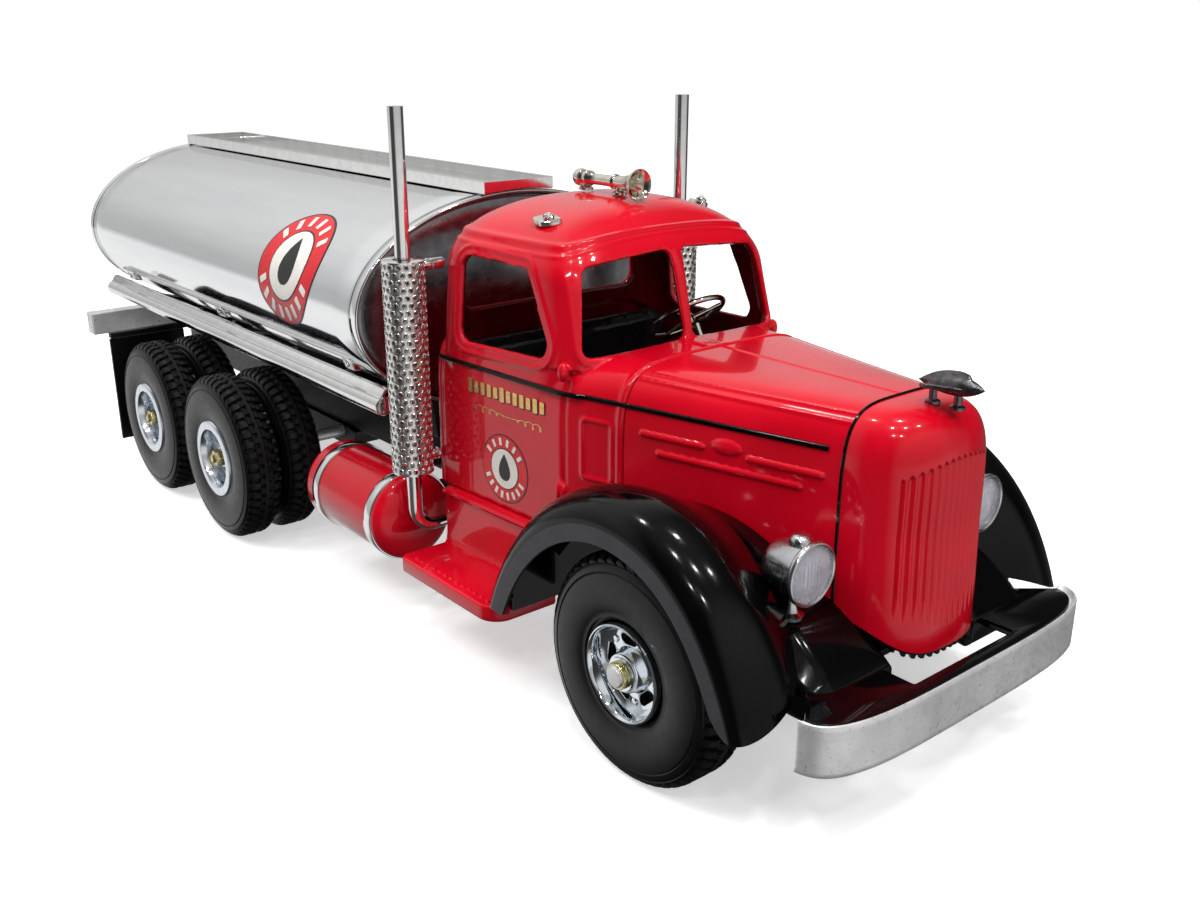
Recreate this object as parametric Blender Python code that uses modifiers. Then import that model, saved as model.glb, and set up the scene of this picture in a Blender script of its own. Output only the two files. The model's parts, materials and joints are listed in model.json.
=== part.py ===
"""Toy tanker truck: a cast cab with an oval polished tank on a three-axle chassis.

Frame: +X to the truck's front, +Y to its left side, +Z up.  The origin lies on the ground
under the centre of the truck's box.  Lengths below are in millimetres; meshes are in metres.
"""

import math

import bmesh
import bpy
from mathutils import Vector

MM = 0.001
GAP = 0.4                      # clearance between pieces that rest on each other

# Wheels
TYRE_R = 40.0
RIM_R = 17.6
FRONT_AXLE_X = 205.0
REAR_AXLE_X = (-77.7, -162.3)
FRONT_TYRE_Y = (61.0, 82.8)    # inner and outer face
REAR_OUTER_Y = (80.0, 99.5)
REAR_INNER_Y = (58.5, 78.0)
AXLE_R = 3.0
BORE_R = 3.35

# Tank
TANK_X = (-275.3, 40.6)
TANK_HALF_Y = 80.9
TANK_HALF_Z = 46.6
TANK_Z = 125.5
TANK_WALL = 1.6
TRAY_X = (-273.0, 42.3)
TRAY_HALF_Y = 18.0
TRAY_TOP = 176.8
SIDE_RAIL_Y = 72.0
SIDE_RAIL_Z = 90.0
SIDE_RAIL_R = 4.0
SADDLE_X = (-246.0, -121.0, 12.0)

# Chassis
RAIL_Y = (20.0, 28.0)
RAIL_Z = (44.0, 60.0)
RAIL_X = (-275.6, 236.0)

# Cab, hood and radiator
CAB_REAR_X = 60.5
CAB_BOTTOM_Z = 60.6
CAB_REAR_HALF = 60.0
DOOR_FRONT_X = 139.0
DOOR_FRONT_HALF = 55.0
COWL_X = 165.0
COWL_HALF = 48.0
SEAM_X = 245.0
SEAM_HALF = 27.7
BELT_Z = 114.3
EYEBROW_Z = 150.0              # where the side walls turn into the roof dome
ROOF_TOP_Z = 176.6
ROOF_CENTRE_X = 100.0
SHOULDER_Z = 90.0              # where hood and cowl sides start to round over
CREST_Z = 127.8
WALL = 2.0
NOSE_X = 269.5
NOSE_BOTTOM_Z = 50.0
HOOD_BOTTOM_Z = 62.0

# Fenders, boards and bumpers
FENDER_Y = 85.2
FENDER_BAND = 6.0
FENDER_CROWN = 9.4
FENDER_SKIN = 1.4
BOARD_X = (71.0, 136.5)
BOARD_TOP_Z = 36.4
BOARD_OUT_Y = 85.0
BUMPER_HALF_Y = 71.5
BUMPER_TIP_X = 269.0
BUMPER_FRONT_X = 285.8
BUMPER_Z = (31.6, 49.1)
REAR_BAR_X = (-285.8, -276.2)

# Fuel tanks and exhaust stacks
FUEL_X = (-9.5, 58.5)
FUEL_Y = 66.0
FUEL_Z = 42.1
FUEL_R = 19.0
STACK_X = 65.2
STACK_Y = 72.5
SHIELD_R = 8.15
SHIELD_Z = (68.1, 153.9)
PIPE_R = 3.0
PIPE_TOP_Z = 210.1

PARTS = bpy.data.collections.new("toy_tanker_truck")
CUTTERS = bpy.data.collections.new("cutters")


# ---------------------------------------------------------------- helpers

def clear_scene():
    for obj in list(bpy.data.objects):
        bpy.data.objects.remove(obj, do_unlink=True)
    for collection in (PARTS, CUTTERS):
        bpy.context.scene.collection.children.link(collection)


def material(name, colour, roughness, metallic=0.0):
    mat = bpy.data.materials.get(name)
    if mat is None:
        mat = bpy.data.materials.new(name)
        mat.use_nodes = True
        shader = mat.node_tree.nodes["Principled BSDF"]
        shader.inputs["Base Color"].default_value = (*colour, 1.0)
        shader.inputs["Roughness"].default_value = roughness
        shader.inputs["Metallic"].default_value = metallic
    return mat


def red_enamel():
    return material("red_enamel", (0.62, 0.005, 0.012), 0.12)


def black_enamel():
    return material("black_enamel", (0.006, 0.006, 0.007), 0.1)


def chassis_black():
    return material("chassis_black", (0.012, 0.012, 0.012), 0.4)


def polished_metal():
    return material("polished_metal", (0.86, 0.87, 0.86), 0.06, 1.0)


def nickel():
    return material("nickel", (0.72, 0.7, 0.64), 0.14, 1.0)


def cast_metal():
    return material("cast_metal", (0.6, 0.6, 0.6), 0.38, 1.0)


def rubber():
    return material("rubber", (0.015, 0.015, 0.016), 0.6)


def seat_black():
    return material("seat_black", (0.01, 0.01, 0.012), 0.3)


def lens_glass():
    return material("lens_glass", (0.8, 0.83, 0.86), 0.05)


def add_object(name, mesh, mat, collection=PARTS):
    obj = bpy.data.objects.new(name, mesh)
    if mat is not None:
        mesh.materials.append(mat)
    collection.objects.link(obj)
    return obj


def smooth(obj, angle=35.0):
    obj.data.shade_smooth()
    obj.data.set_sharp_from_angle(angle=math.radians(angle))


def grid(name, rows, mat, close_rows=False, pole=False, collection=PARTS):
    """A surface through rows of points; close_rows joins each row's ends, pole closes the last row."""
    bm = bmesh.new()
    lines = [[bm.verts.new(Vector(p) * MM) for p in row] for row in rows]
    for low, high in zip(lines, lines[1:]):
        count = len(low)
        for i in range(count if close_rows else count - 1):
            j = (i + 1) % count
            bm.faces.new((low[i], high[i], high[j], low[j]))
    if pole:
        top = bm.verts.new(Vector(pole) * MM)
        last = lines[-1]
        for i in range(len(last) if close_rows else len(last) - 1):
            bm.faces.new((last[i], top, last[(i + 1) % len(last)]))
    mesh = bpy.data.meshes.new(name)
    bm.to_mesh(mesh)
    bm.free()
    return add_object(name, mesh, mat, collection)


def loft(name, rings, mat, collection=PARTS):
    """A closed solid through rings of equal length, capped flat at both ends."""
    bm = bmesh.new()
    lines = [[bm.verts.new(Vector(p) * MM) for p in ring] for ring in rings]
    for low, high in zip(lines, lines[1:]):
        for i, vert in enumerate(low):
            j = (i + 1) % len(low)
            bm.faces.new((vert, low[j], high[j], high[i]))
    bm.faces.new(lines[0])
    bm.faces.new(lines[-1])
    bmesh.ops.recalc_face_normals(bm, faces=bm.faces)
    mesh = bpy.data.meshes.new(name)
    bm.to_mesh(mesh)
    bm.free()
    return add_object(name, mesh, mat, collection)


def prism(name, outline, axis, low, high, mat, collection=PARTS):
    """An outline of 2D points pushed along one axis from low to high."""
    def place(point, depth):
        a, b = point
        return {"X": (depth, a, b), "Y": (a, depth, b), "Z": (a, b, depth)}[axis]
    return loft(name, [[place(p, low) for p in outline], [place(p, high) for p in outline]],
                mat, collection)


def box(name, low, high, mat, bevel=0.0, collection=PARTS):
    bm = bmesh.new()
    bmesh.ops.create_cube(bm, size=1.0)
    size = [(b - a) * MM for a, b in zip(low, high)]
    centre = [(b + a) / 2 * MM for a, b in zip(low, high)]
    bmesh.ops.scale(bm, vec=size, verts=bm.verts)
    bmesh.ops.translate(bm, vec=centre, verts=bm.verts)
    if bevel:
        bmesh.ops.bevel(bm, geom=bm.edges, offset=bevel * MM, segments=2, profile=0.5,
                        affect="EDGES")
    mesh = bpy.data.meshes.new(name)
    bm.to_mesh(mesh)
    bm.free()
    return add_object(name, mesh, mat, collection)


def cylinder(name, start, end, radius, mat, sides=16, collection=PARTS):
    """A round bar between two points."""
    start = Vector(start) * MM
    end = Vector(end) * MM
    bm = bmesh.new()
    bmesh.ops.create_cone(bm, cap_ends=True, segments=sides, radius1=radius * MM,
                          radius2=radius * MM, depth=(end - start).length)
    turn = Vector((0, 0, 1)).rotation_difference(end - start)
    bmesh.ops.rotate(bm, cent=(0, 0, 0), matrix=turn.to_matrix(), verts=bm.verts)
    bmesh.ops.translate(bm, vec=(start + end) / 2, verts=bm.verts)
    mesh = bpy.data.meshes.new(name)
    bm.to_mesh(mesh)
    bm.free()
    return add_object(name, mesh, mat, collection)


def turned(name, profile, centre, outward, mat, segments=24, closed=True):
    """A profile of (radius, height) points, listed down its outer side, spun about an axis."""
    mesh = bpy.data.meshes.new(name)
    count = len(profile)
    edges = [(i, i + 1) for i in range(count - 1)]
    if closed:
        edges.append((count - 1, 0))
    mesh.from_pydata([(r * MM, 0.0, h * MM) for r, h in profile], edges, [])
    obj = add_object(name, mesh, mat)
    obj.location = Vector(centre) * MM
    obj.rotation_euler = Vector((0, 0, 1)).rotation_difference(Vector(outward)).to_euler()
    spin = obj.modifiers.new("spin", "SCREW")
    spin.steps = segments
    spin.render_steps = segments
    spin.use_merge_vertices = True
    spin.merge_threshold = 0.00001
    spin.use_smooth_shade = True
    return obj


def solidify(obj, thickness):
    """Give an open surface its thickness, inwards."""
    shell = obj.modifiers.new("skin", "SOLIDIFY")
    shell.thickness = thickness * MM
    shell.offset = -1.0
    shell.use_even_offset = True
    return obj


def boolean(obj, tool, operation="DIFFERENCE"):
    tool.hide_render = True
    tool.display_type = "WIRE"
    for collection in list(tool.users_collection):
        collection.objects.unlink(tool)
    CUTTERS.objects.link(tool)
    mod = obj.modifiers.new(operation.lower(), "BOOLEAN")
    mod.operation = operation
    mod.object = tool
    return obj


def power(value, exponent):
    return math.copysign(abs(value) ** exponent, value)


def rounded(corners, radius, steps=3):
    """A convex outline with each corner rounded, listed in the same turning order."""
    points = []
    count = len(corners)
    for i, corner in enumerate(corners):
        here = Vector(corner)
        back = (Vector(corners[i - 1]) - here).normalized()
        ahead = (Vector(corners[(i + 1) % count]) - here).normalized()
        half = back.angle(ahead) / 2
        reach = radius / math.tan(half)
        middle = here + (back + ahead).normalized() * radius / math.sin(half)
        first = here + back * reach - middle
        last = here + ahead * reach - middle
        for k in range(steps + 1):
            ray = first.lerp(last, k / steps).normalized() * radius
            points.append(tuple(middle + ray))
    return points


def curve_tube(name, points, radius, mat, resolution=2):
    """A tube along points, made a mesh with its caps welded."""
    data = bpy.data.curves.new(name + "_path", "CURVE")
    data.dimensions = "3D"
    data.bevel_depth = radius * MM
    data.bevel_resolution = resolution
    data.use_fill_caps = True
    spline = data.splines.new("POLY")
    spline.points.add(len(points) - 1)
    for point, place in zip(spline.points, points):
        point.co = (*(Vector(place) * MM), 1.0)
    path = bpy.data.objects.new(name + "_path", data)
    bpy.context.scene.collection.objects.link(path)
    bpy.context.view_layer.update()
    evaluated = path.evaluated_get(bpy.context.evaluated_depsgraph_get())
    mesh = bpy.data.meshes.new_from_object(evaluated)
    bpy.data.objects.remove(path, do_unlink=True)
    bm = bmesh.new()
    bm.from_mesh(mesh)
    bmesh.ops.remove_doubles(bm, verts=bm.verts, dist=0.00001)
    bmesh.ops.recalc_face_normals(bm, faces=bm.faces)
    bm.to_mesh(mesh)
    bm.free()
    mesh.name = name
    obj = add_object(name, mesh, mat)
    smooth(obj)
    return obj


# ---------------------------------------------------------------- body shape rules

def body_half_width(x):
    """Half-width of cab, cowl and hood at the belt line."""
    stations = ((CAB_REAR_X, CAB_REAR_HALF), (DOOR_FRONT_X, DOOR_FRONT_HALF),
                (COWL_X, COWL_HALF), (SEAM_X, SEAM_HALF))
    for (x0, w0), (x1, w1) in zip(stations, stations[1:]):
        if x <= x1:
            return w0 + (w1 - w0) * (x - x0) / (x1 - x0)
    return SEAM_HALF


def body_section(x, half, bottom, inset=0.0, steps=6):
    """Half ring from the lower edge up the side and over to the crest, at one station."""
    boxiness = 5.0 - 0.5 * max(0.0, min(1.0, (x - COWL_X) / (SEAM_X - COWL_X)))
    half -= inset
    rise = CREST_Z - inset - SHOULDER_Z
    points = [(half, bottom), (half, (bottom + SHOULDER_Z) / 2), (half, SHOULDER_Z)]
    for k in range(1, steps + 1):
        a = math.radians(90.0 * k / steps)
        points.append((half * power(math.cos(a), 2 / boxiness) if k < steps else 0.0,
                       SHOULDER_Z + rise * power(math.sin(a), 2 / boxiness)))
    return points


def full_ring(x, half_ring):
    """Mirror a half ring (from lower edge to crest) into one row, right side first."""
    right = [(x, -y, z) for y, z in half_ring]
    left = [(x, y, z) for y, z in reversed(half_ring[:-1])]
    return right + left


def cab_rear_half(x, half, inset=0.0):
    """Half-width with the cab's rear corners rounded."""
    corner = 7.0 - inset
    edge = CAB_REAR_X + 7.0
    if x >= edge:
        return half
    return half - corner + math.sqrt(max(0.0, corner ** 2 - (edge - x) ** 2))


def lower_cab(name, inset, bottom):
    """Solid of the cab's lower part with the cowl in front of the windshield."""
    rear = CAB_REAR_X + inset
    front = COWL_X - inset
    rear_edge = CAB_REAR_X + 7.0
    stations = [rear + 0.01, rear + 0.5, rear + 2.0, rear + 4.0, rear_edge + 0.01, 100.0,
                DOOR_FRONT_X, front]
    rings = []
    for x in stations:
        half = cab_rear_half(x, body_half_width(x) - inset, inset) + inset
        rings.append(full_ring(x, body_section(x, half, bottom, inset)))
    return loft(name, rings, None, CUTTERS)


def cab_ring(z, inset, count):
    """Plan outline of the upper cab at one height."""
    rise = max(0.0, (z - EYEBROW_Z) / (ROOF_TOP_Z - inset - EYEBROW_Z))
    rise = min(rise, 1.0)
    front_x = 148.6 + (128.5 - max(z, 128.5)) * 0.25
    if z < 122.0:
        front_x = 143.0
    front = (front_x - ROOF_CENTRE_X - inset) * (1 - rise ** 2.4) ** (1 / 2.4)
    rear = (ROOF_CENTRE_X - CAB_REAR_X - inset) * (1 - rise ** 3.0) ** (1 / 3.0)
    side = CAB_REAR_HALF - max(0.0, min(z, EYEBROW_Z) - BELT_Z) * 0.09
    boxy = 7.0 - 3.0 * rise
    narrow = (1 - rise ** 2.2) ** (1 / 2.2)
    ring = []
    for k in range(count):
        a = 2 * math.pi * (k + 0.5) / count
        along = power(math.cos(a), 2 / boxy)
        across = power(math.sin(a), 2 / boxy)
        x = ROOF_CENTRE_X + (front if along > 0 else rear) * along
        half = side * body_half_width(min(x, DOOR_FRONT_X)) / CAB_REAR_HALF - inset
        ring.append((x, half * narrow * across, z))
    return ring


def upper_cab(name, inset, bottom, count=28):
    """Solid of the cab from the shoulder up to the domed roof."""
    top = ROOF_TOP_Z - inset
    rise = top - EYEBROW_Z
    levels = [bottom, SHOULDER_Z, BELT_Z, 121.9, 122.1, 128.5, 140.0, EYEBROW_Z]
    levels = [z for z in levels if z >= bottom]
    levels += [EYEBROW_Z + rise * math.sin(math.radians(a)) for a in (16, 32, 48, 62, 75, 85)]
    return loft(name, [cab_ring(z, inset, count) for z in levels], None, CUTTERS)


# ---------------------------------------------------------------- cab

def cab_openings():
    """Cutters for the door windows, the split windshield and the rear window."""
    side = rounded([(82.2, 123.6), (137.0, 126.8), (127.2, 158.4), (82.2, 156.2)], 5.0)
    yield prism("door_windows_cut", side, "Y", -90.0, 90.0, None, CUTTERS)
    for sign in (-1, 1):
        corners = [(3.6, 128.9), (49.0, 126.6), (46.6, 157.6), (3.6, 161.0)]
        pane = rounded([(sign * y, z) for y, z in corners], 4.0)
        yield prism("windshield_cut", pane, "X", 120.0, 163.5, None, CUTTERS)
    rear = rounded([(-46.0, 130.0), (46.0, 130.0), (44.0, 157.0), (-44.0, 157.0)], 6.0)
    yield prism("rear_window_cut", rear, "X", 50.0, 72.0, None, CUTTERS)


def make_cab_body():
    cab = lower_cab("cab_body", 0.0, CAB_BOTTOM_Z)
    CUTTERS.objects.unlink(cab)
    PARTS.objects.link(cab)
    cab.data.materials.append(red_enamel())
    boolean(cab, upper_cab("upper_cab_add", 0.0, SHOULDER_Z), "UNION")
    boolean(cab, lower_cab("lower_cab_hollow", WALL, 50.0))
    boolean(cab, upper_cab("upper_cab_hollow", WALL, SHOULDER_Z - 10.0, 20))
    for cutter in cab_openings():
        boolean(cab, cutter)


def make_cab_floor():
    """Floor plate that the cab casting sits over."""
    inset = WALL + GAP
    xs = (CAB_REAR_X + 9.0, DOOR_FRONT_X, COWL_X - inset)
    right = [(x, -(body_half_width(x) - inset)) for x in xs]
    left = [(x, y * -1) for x, y in reversed(right)]
    prism("cab_floor", right + left, "Z", CAB_BOTTOM_Z - 0.2, CAB_BOTTOM_Z + 2.0, chassis_black())


def make_seat():
    """Moulded bench seat: base, cushion and a raked back in one piece."""
    side = [(70.0, 63.0), (108.0, 63.0), (108.0, 82.0), (112.0, 84.0), (112.0, 89.0),
            (109.0, 91.5), (84.0, 89.5), (78.5, 117.0), (75.0, 120.0), (71.0, 119.0),
            (68.5, 116.0), (70.0, 90.0)]
    prism("bench_seat", side, "Y", -50.0, 50.0, seat_black())


def make_steering():
    """Steering wheel on a raked column, in front of the left half of the bench."""
    centre = Vector((122.0, 27.0, 127.5))
    lean = Vector((-0.5, 0.0, 0.866))
    rim = [(16.0 + 1.1 * math.cos(a), 1.1 * math.sin(a))
           for a in (math.radians(60.0 * k) for k in range(0, -6, -1))]
    wheel = turned("steering_wheel", rim, centre, lean, nickel(), 18)
    angle = wheel.rotation_euler.to_matrix()
    for k in range(3):
        a = math.radians(120.0 * k)
        tip = centre + angle @ Vector((15.6 * math.cos(a), 15.6 * math.sin(a), 0.0))
        base = centre + lean * -1.6
        boolean(wheel, cylinder("spoke", base, tip, 0.8, None, 6), "UNION")
    boolean(wheel, cylinder("hub", centre + lean * -3.0, centre + lean * 1.0, 2.6, None, 10),
            "UNION")
    cylinder("steering_column", centre + lean * -3.4, centre + lean * -74.0, 1.8, nickel(), 12)


def make_horn():
    """Trumpet horn along the roof on two posts."""
    profile = [(0.0, 9.0), (1.4, 10.0), (3.2, 15.0), (5.3, 18.7), (5.9, 19.0), (3.9, 15.0),
               (2.6, 10.0), (2.0, 0.0), (2.3, -13.0), (3.2, -15.5), (2.0, -19.2), (0.0, -19.4)]
    horn = turned("air_horn", profile, (100.0, 0.0, 181.2), (1, 0, 0), nickel(), 16, False)
    for x, foot in ((87.0, 176.9), (107.4, 176.9)):
        boolean(horn, cylinder("horn_post", (x, 0, foot), (x, 0, 180.6), 1.5, None, 10), "UNION")


def make_marker_lights():
    for side, name in ((-1, "marker_light_right"), (1, "marker_light_left")):
        profile = [(0.0, 2.6), (2.0, 2.2), (3.2, 1.0), (3.5, 0.0), (0.0, 0.0)]
        turned(name, profile, (112.0, side * 37.0, 172.9), (0.06, side * 0.3, 1.0), nickel(), 12,
               False)


# ---------------------------------------------------------------- hood and radiator

def make_hood():
    rows = []
    start = COWL_X + 1.0
    for k in range(6):
        x = start + (SEAM_X - GAP - start) * k / 5
        rows.append(full_ring(x, body_section(x, body_half_width(x), HOOD_BOTTOM_Z)))
    hood = grid("hood", rows, red_enamel())
    solidify(hood, WALL)
    smooth(hood)


def nose_point(z_share, lon, lat):
    """A point of the radiator shell: bowed in plan, domed at the top."""
    bow = 2.6
    across = SEAM_HALF * power(math.sin(lon), 2 / bow)
    along = (NOSE_X - SEAM_X) * power(max(0.0, math.cos(lon)), 2 / bow)
    if lat is None:
        bottom = NOSE_BOTTOM_Z + 10.0 * abs(math.sin(lon)) ** 3
        z = bottom + (SHOULDER_Z - bottom) * z_share
        shrink = 1.0
    else:
        z = SHOULDER_Z + (CREST_Z - SHOULDER_Z) * power(math.sin(lat), 2 / 4.5)
        shrink = power(max(0.0, math.cos(lat)), 2 / 4.5)
    rake = 0.045 * (SHOULDER_Z - z) * math.cos(lon) if z < SHOULDER_Z else 0.0
    return (SEAM_X + along * shrink + rake, across * shrink, z)


def make_radiator():
    lons = [math.radians(90 - 180 * k / 12) for k in range(13)]
    rows = [[nose_point(share, lon, None) for lon in lons] for share in (0.0, 0.5, 1.0)]
    for degrees in (12, 25, 38, 52, 66, 78):
        lat = math.radians(degrees)
        rows.append([nose_point(1.0, lon, lat) for lon in lons])
    shell = grid("radiator_shell", rows, red_enamel(), pole=(SEAM_X, 0.0, CREST_Z))
    solidify(shell, WALL)
    smooth(shell)


def make_ornament():
    """Streamlined hood ornament: a teardrop body on two short feet."""
    profile = [(0.0, 13.5), (2.6, 11.5), (4.2, 6.0), (4.0, 0.0), (2.6, -6.0), (1.0, -10.5),
               (0.0, -11.5)]
    body = turned("hood_ornament", profile, (261.0, 0.0, 134.5), (0.99, 0.0, 0.1), cast_metal(),
                  12, False)
    boolean(body, cylinder("ornament_foot", (252.5, 0, 128.4), (254.5, 0, 134.0), 1.5, None, 8),
            "UNION")
    boolean(body, cylinder("ornament_foot", (260.0, 0, 128.4), (261.0, 0, 134.0), 1.5, None, 8),
            "UNION")


# ---------------------------------------------------------------- fenders and front end

def fender_radius(theta):
    """Distance from the wheel centre to the top of the fender's outer band."""
    t = theta - math.pi / 2
    return 48.5 + 5.62 * t + 1.32 * t ** 2 - 0.16 * t ** 3 + 1.17 * t ** 4


def fender_rise(depth):
    """How far the fender's skin stands above its outer band, by depth inwards."""
    crown = 15.2
    if depth < crown:
        return FENDER_CROWN * math.sqrt(max(0.0, 1 - ((crown - depth) / crown) ** 2))
    return FENDER_CROWN - 14.4 * (1 - math.exp(-((depth - crown) / 22.0) ** 2))


def fender_point(side, share, depth, band=False):
    """One point of the fender's skin; share runs from its front end to its rear end."""
    start = math.radians(24.0) * depth / 57.0
    theta = start + (math.radians(182.0) - start) * share
    r = fender_radius(theta) + (-FENDER_BAND if band else fender_rise(depth))
    return (FRONT_AXLE_X + r * math.cos(theta), side * (FENDER_Y - depth),
            TYRE_R + r * math.sin(theta))


def fender_inner_depth(share):
    """Depth at which the skin meets the side of the hood or cab."""
    depth = 40.0
    for _ in range(6):
        x = fender_point(1, share, depth)[0]
        depth = FENDER_Y - body_half_width(max(x, CAB_REAR_X)) - 0.8
    return depth


def fender_rows(side, steps=16):
    rows = []
    for k in range(steps + 1):
        share = k / steps
        total = fender_inner_depth(share)
        depths = [0.0, 1.2, 4.2, 9.0, 15.2]
        depths += [15.2 + (total - 15.2) * part for part in (0.2, 0.45, 0.72, 1.0)]
        row = [fender_point(side, share, 0.0, True)]
        row += [fender_point(side, share, depth) for depth in depths]
        rows.append(row[::-1] if side < 0 else row)
    return rows


def make_fenders():
    for side, name in ((-1, "front_fender_right"), (1, "front_fender_left")):
        fender = grid(name, fender_rows(side), black_enamel())
        solidify(fender, FENDER_SKIN)
        smooth(fender)


def make_headlights():
    for side, tag in ((-1, "right"), (1, "left")):
        centre = (250.0, side * 45.6, 80.6)
        cup = [(9.3, 0.0), (10.2, 0.0), (10.3, -3.0), (9.4, -7.0), (7.4, -11.5), (4.2, -15.2),
               (0.0, -16.4)]
        inner = [(0.0, -14.6), (3.4, -13.4), (6.2, -10.4), (8.2, -6.6), (9.0, -2.6)]
        shell = turned(f"headlight_shell_{tag}", inner + cup, centre, (1, 0, 0),
                       cast_metal(), 14, False)
        foot = (centre[0] - 7.0, centre[1], 67.6)
        boolean(shell, cylinder("headlight_post", foot, (foot[0], foot[1], 72.0), 2.0, None, 10),
                "UNION")
        lens = [(0.0, 1.9), (4.5, 1.5), (8.7, 0.3), (8.7, -1.2), (0.0, -1.2)]
        turned(f"headlight_lens_{tag}", lens, centre, (1, 0, 0), lens_glass(), 14, False)


def bumper_points(half, front, tip, count=20):
    """Plan curve of the front bumper from the right tip to the left tip."""
    base = tip - 7.0
    points = []
    for k in range(count + 1):
        a = math.radians(-84.0 + 168.0 * k / count)
        points.append((base + (front - base) * power(math.cos(a), 2 / 4.0),
                       half * power(math.sin(a), 2 / 4.0)))
    return points


def make_bumper():
    plan = bumper_points(BUMPER_HALF_Y, BUMPER_FRONT_X, BUMPER_TIP_X)
    rows = [[(x, y, z) for x, y in reversed(plan)] for z in (BUMPER_Z[0], BUMPER_Z[1])]
    bumper = grid("front_bumper", rows, cast_metal())
    solidify(bumper, 2.6)
    smooth(bumper)


def make_apron():
    """Black shelf behind the bumper, with an open slot below the radiator."""
    plan = bumper_points(BUMPER_HALF_Y - 3.2, BUMPER_FRONT_X - 3.2, BUMPER_TIP_X + 1.0)
    outline = plan + [(246.0, 40.0), (240.0, 18.0), (240.0, -18.0), (246.0, -40.0)]
    apron = prism("bumper_apron", outline, "Z", 45.6, 48.4, black_enamel())
    boolean(apron, box("apron_slot", (258.0, -27.0, 40.0), (277.5, 27.0, 55.0), None))


# ---------------------------------------------------------------- boards, fuel tanks, exhaust

def make_running_boards():
    for side, name in ((-1, "running_board_right"), (1, "running_board_left")):
        rings = []
        for x in (BOARD_X[0], 126.0):
            half = body_half_width(x)
            section = [(BOARD_OUT_Y, BOARD_TOP_Z - 3.3), (BOARD_OUT_Y, BOARD_TOP_Z),
                       (half + 2.6, BOARD_TOP_Z), (half + 2.6, CAB_BOTTOM_Z - 2.4),
                       (half + 1.8, CAB_BOTTOM_Z - 0.8), (half + 0.2, CAB_BOTTOM_Z - GAP),
                       (half - 2.0, CAB_BOTTOM_Z - GAP), (half - 2.0, BOARD_TOP_Z - 3.3)]
            rings.append([(x, side * y, z) for y, z in section])
        board = loft(name, rings, red_enamel())
        tread_low = (125.0, min(side * 57.0, side * BOARD_OUT_Y), BOARD_TOP_Z - 3.3)
        tread_high = (BOARD_X[1], max(side * 57.0, side * BOARD_OUT_Y), BOARD_TOP_Z)
        boolean(board, box("board_front", tread_low, tread_high, None), "UNION")


def make_fuel_tanks():
    length = FUEL_X[1] - FUEL_X[0]
    dome = [(FUEL_R * math.sin(math.radians(a)), length - 9.0 + 9.0 * math.cos(math.radians(a)))
            for a in (0, 30, 60, 90)]
    profile = dome + [(FUEL_R, 3.0), (FUEL_R - 0.9, 0.9), (FUEL_R - 3.0, 0.0), (0.0, 0.0)]
    profile[0] = (0.0, length)
    for side, name in ((-1, "fuel_tank_right"), (1, "fuel_tank_left")):
        turned(name, profile, (FUEL_X[0], side * FUEL_Y, FUEL_Z), (1, 0, 0), red_enamel(), 24,
               False)


def make_stacks():
    for side, tag in ((-1, "right"), (1, "left")):
        y = side * STACK_Y
        tube = [(PIPE_R + GAP, SHIELD_Z[1]), (SHIELD_R, SHIELD_Z[1]), (SHIELD_R, SHIELD_Z[0]),
                (SHIELD_R - 1.0, SHIELD_Z[0]), (SHIELD_R - 1.0, SHIELD_Z[1] - 1.0),
                (PIPE_R + GAP, SHIELD_Z[1] - 1.0)]
        shield = turned(f"stack_shield_{tag}", tube, (STACK_X, y, 0.0), (0, 0, 1),
                        polished_metal(), 20)
        for z, end in ((150.7, 54.2), (73.4, 60.2)):
            stud = cylinder("stack_stud", (STACK_X, side * (STACK_Y - SHIELD_R + 0.6), z),
                            (STACK_X, side * end, z), 2.2, None, 12)
            boolean(shield, stud, "UNION")
        bend_z = 52.0
        bend_r = 9.0
        path = [(STACK_X, y, PIPE_TOP_Z), (STACK_X, y, 130.0), (STACK_X, y, bend_z)]
        for k in range(1, 6):
            a = math.radians(18.0 * k)
            path.append((STACK_X, y - side * bend_r * (1 - math.cos(a)),
                         bend_z - bend_r * math.sin(a)))
        path.append((STACK_X, side * 58.0, bend_z - bend_r))
        curve_tube(f"exhaust_pipe_{tag}", path, PIPE_R, polished_metal())


# ---------------------------------------------------------------- tank

def tank_ellipse(half_y, half_z, count=56, x=0.0):
    return [(x, half_y * math.cos(2 * math.pi * k / count),
             TANK_Z + half_z * math.sin(2 * math.pi * k / count)) for k in range(count)]


def make_tank():
    rings = [tank_ellipse(TANK_HALF_Y, TANK_HALF_Z, x=x) for x in TANK_X]
    shell = loft("tank_shell", rings, polished_metal())
    inner = [tank_ellipse(TANK_HALF_Y - TANK_WALL, TANK_HALF_Z - TANK_WALL, x=x)
             for x in (TANK_X[0] - 5.0, TANK_X[1] + 5.0)]
    boolean(shell, loft("tank_bore", inner, None, CUTTERS))
    smooth(shell)
    inset = TANK_WALL + GAP
    for name, face, back in (("tank_front_head", TANK_X[1] - 3.5, -8.0),
                             ("tank_rear_head", TANK_X[0] + 3.5, 8.0)):
        rings = []
        for share, depth in ((1.0, back), (1.0, 0.0), (0.93, -back * 0.16), (0.7, -back * 0.3),
                             (0.4, -back * 0.38)):
            rings.append(tank_ellipse((TANK_HALF_Y - inset) * share,
                                      (TANK_HALF_Z - inset) * share, 36, face + depth))
        smooth(loft(name, rings, polished_metal()))


def tank_bottom(y, clearance=GAP):
    return TANK_Z - (TANK_HALF_Z + clearance) * math.sqrt(1 - (y / (TANK_HALF_Y + 1)) ** 2)


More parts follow.
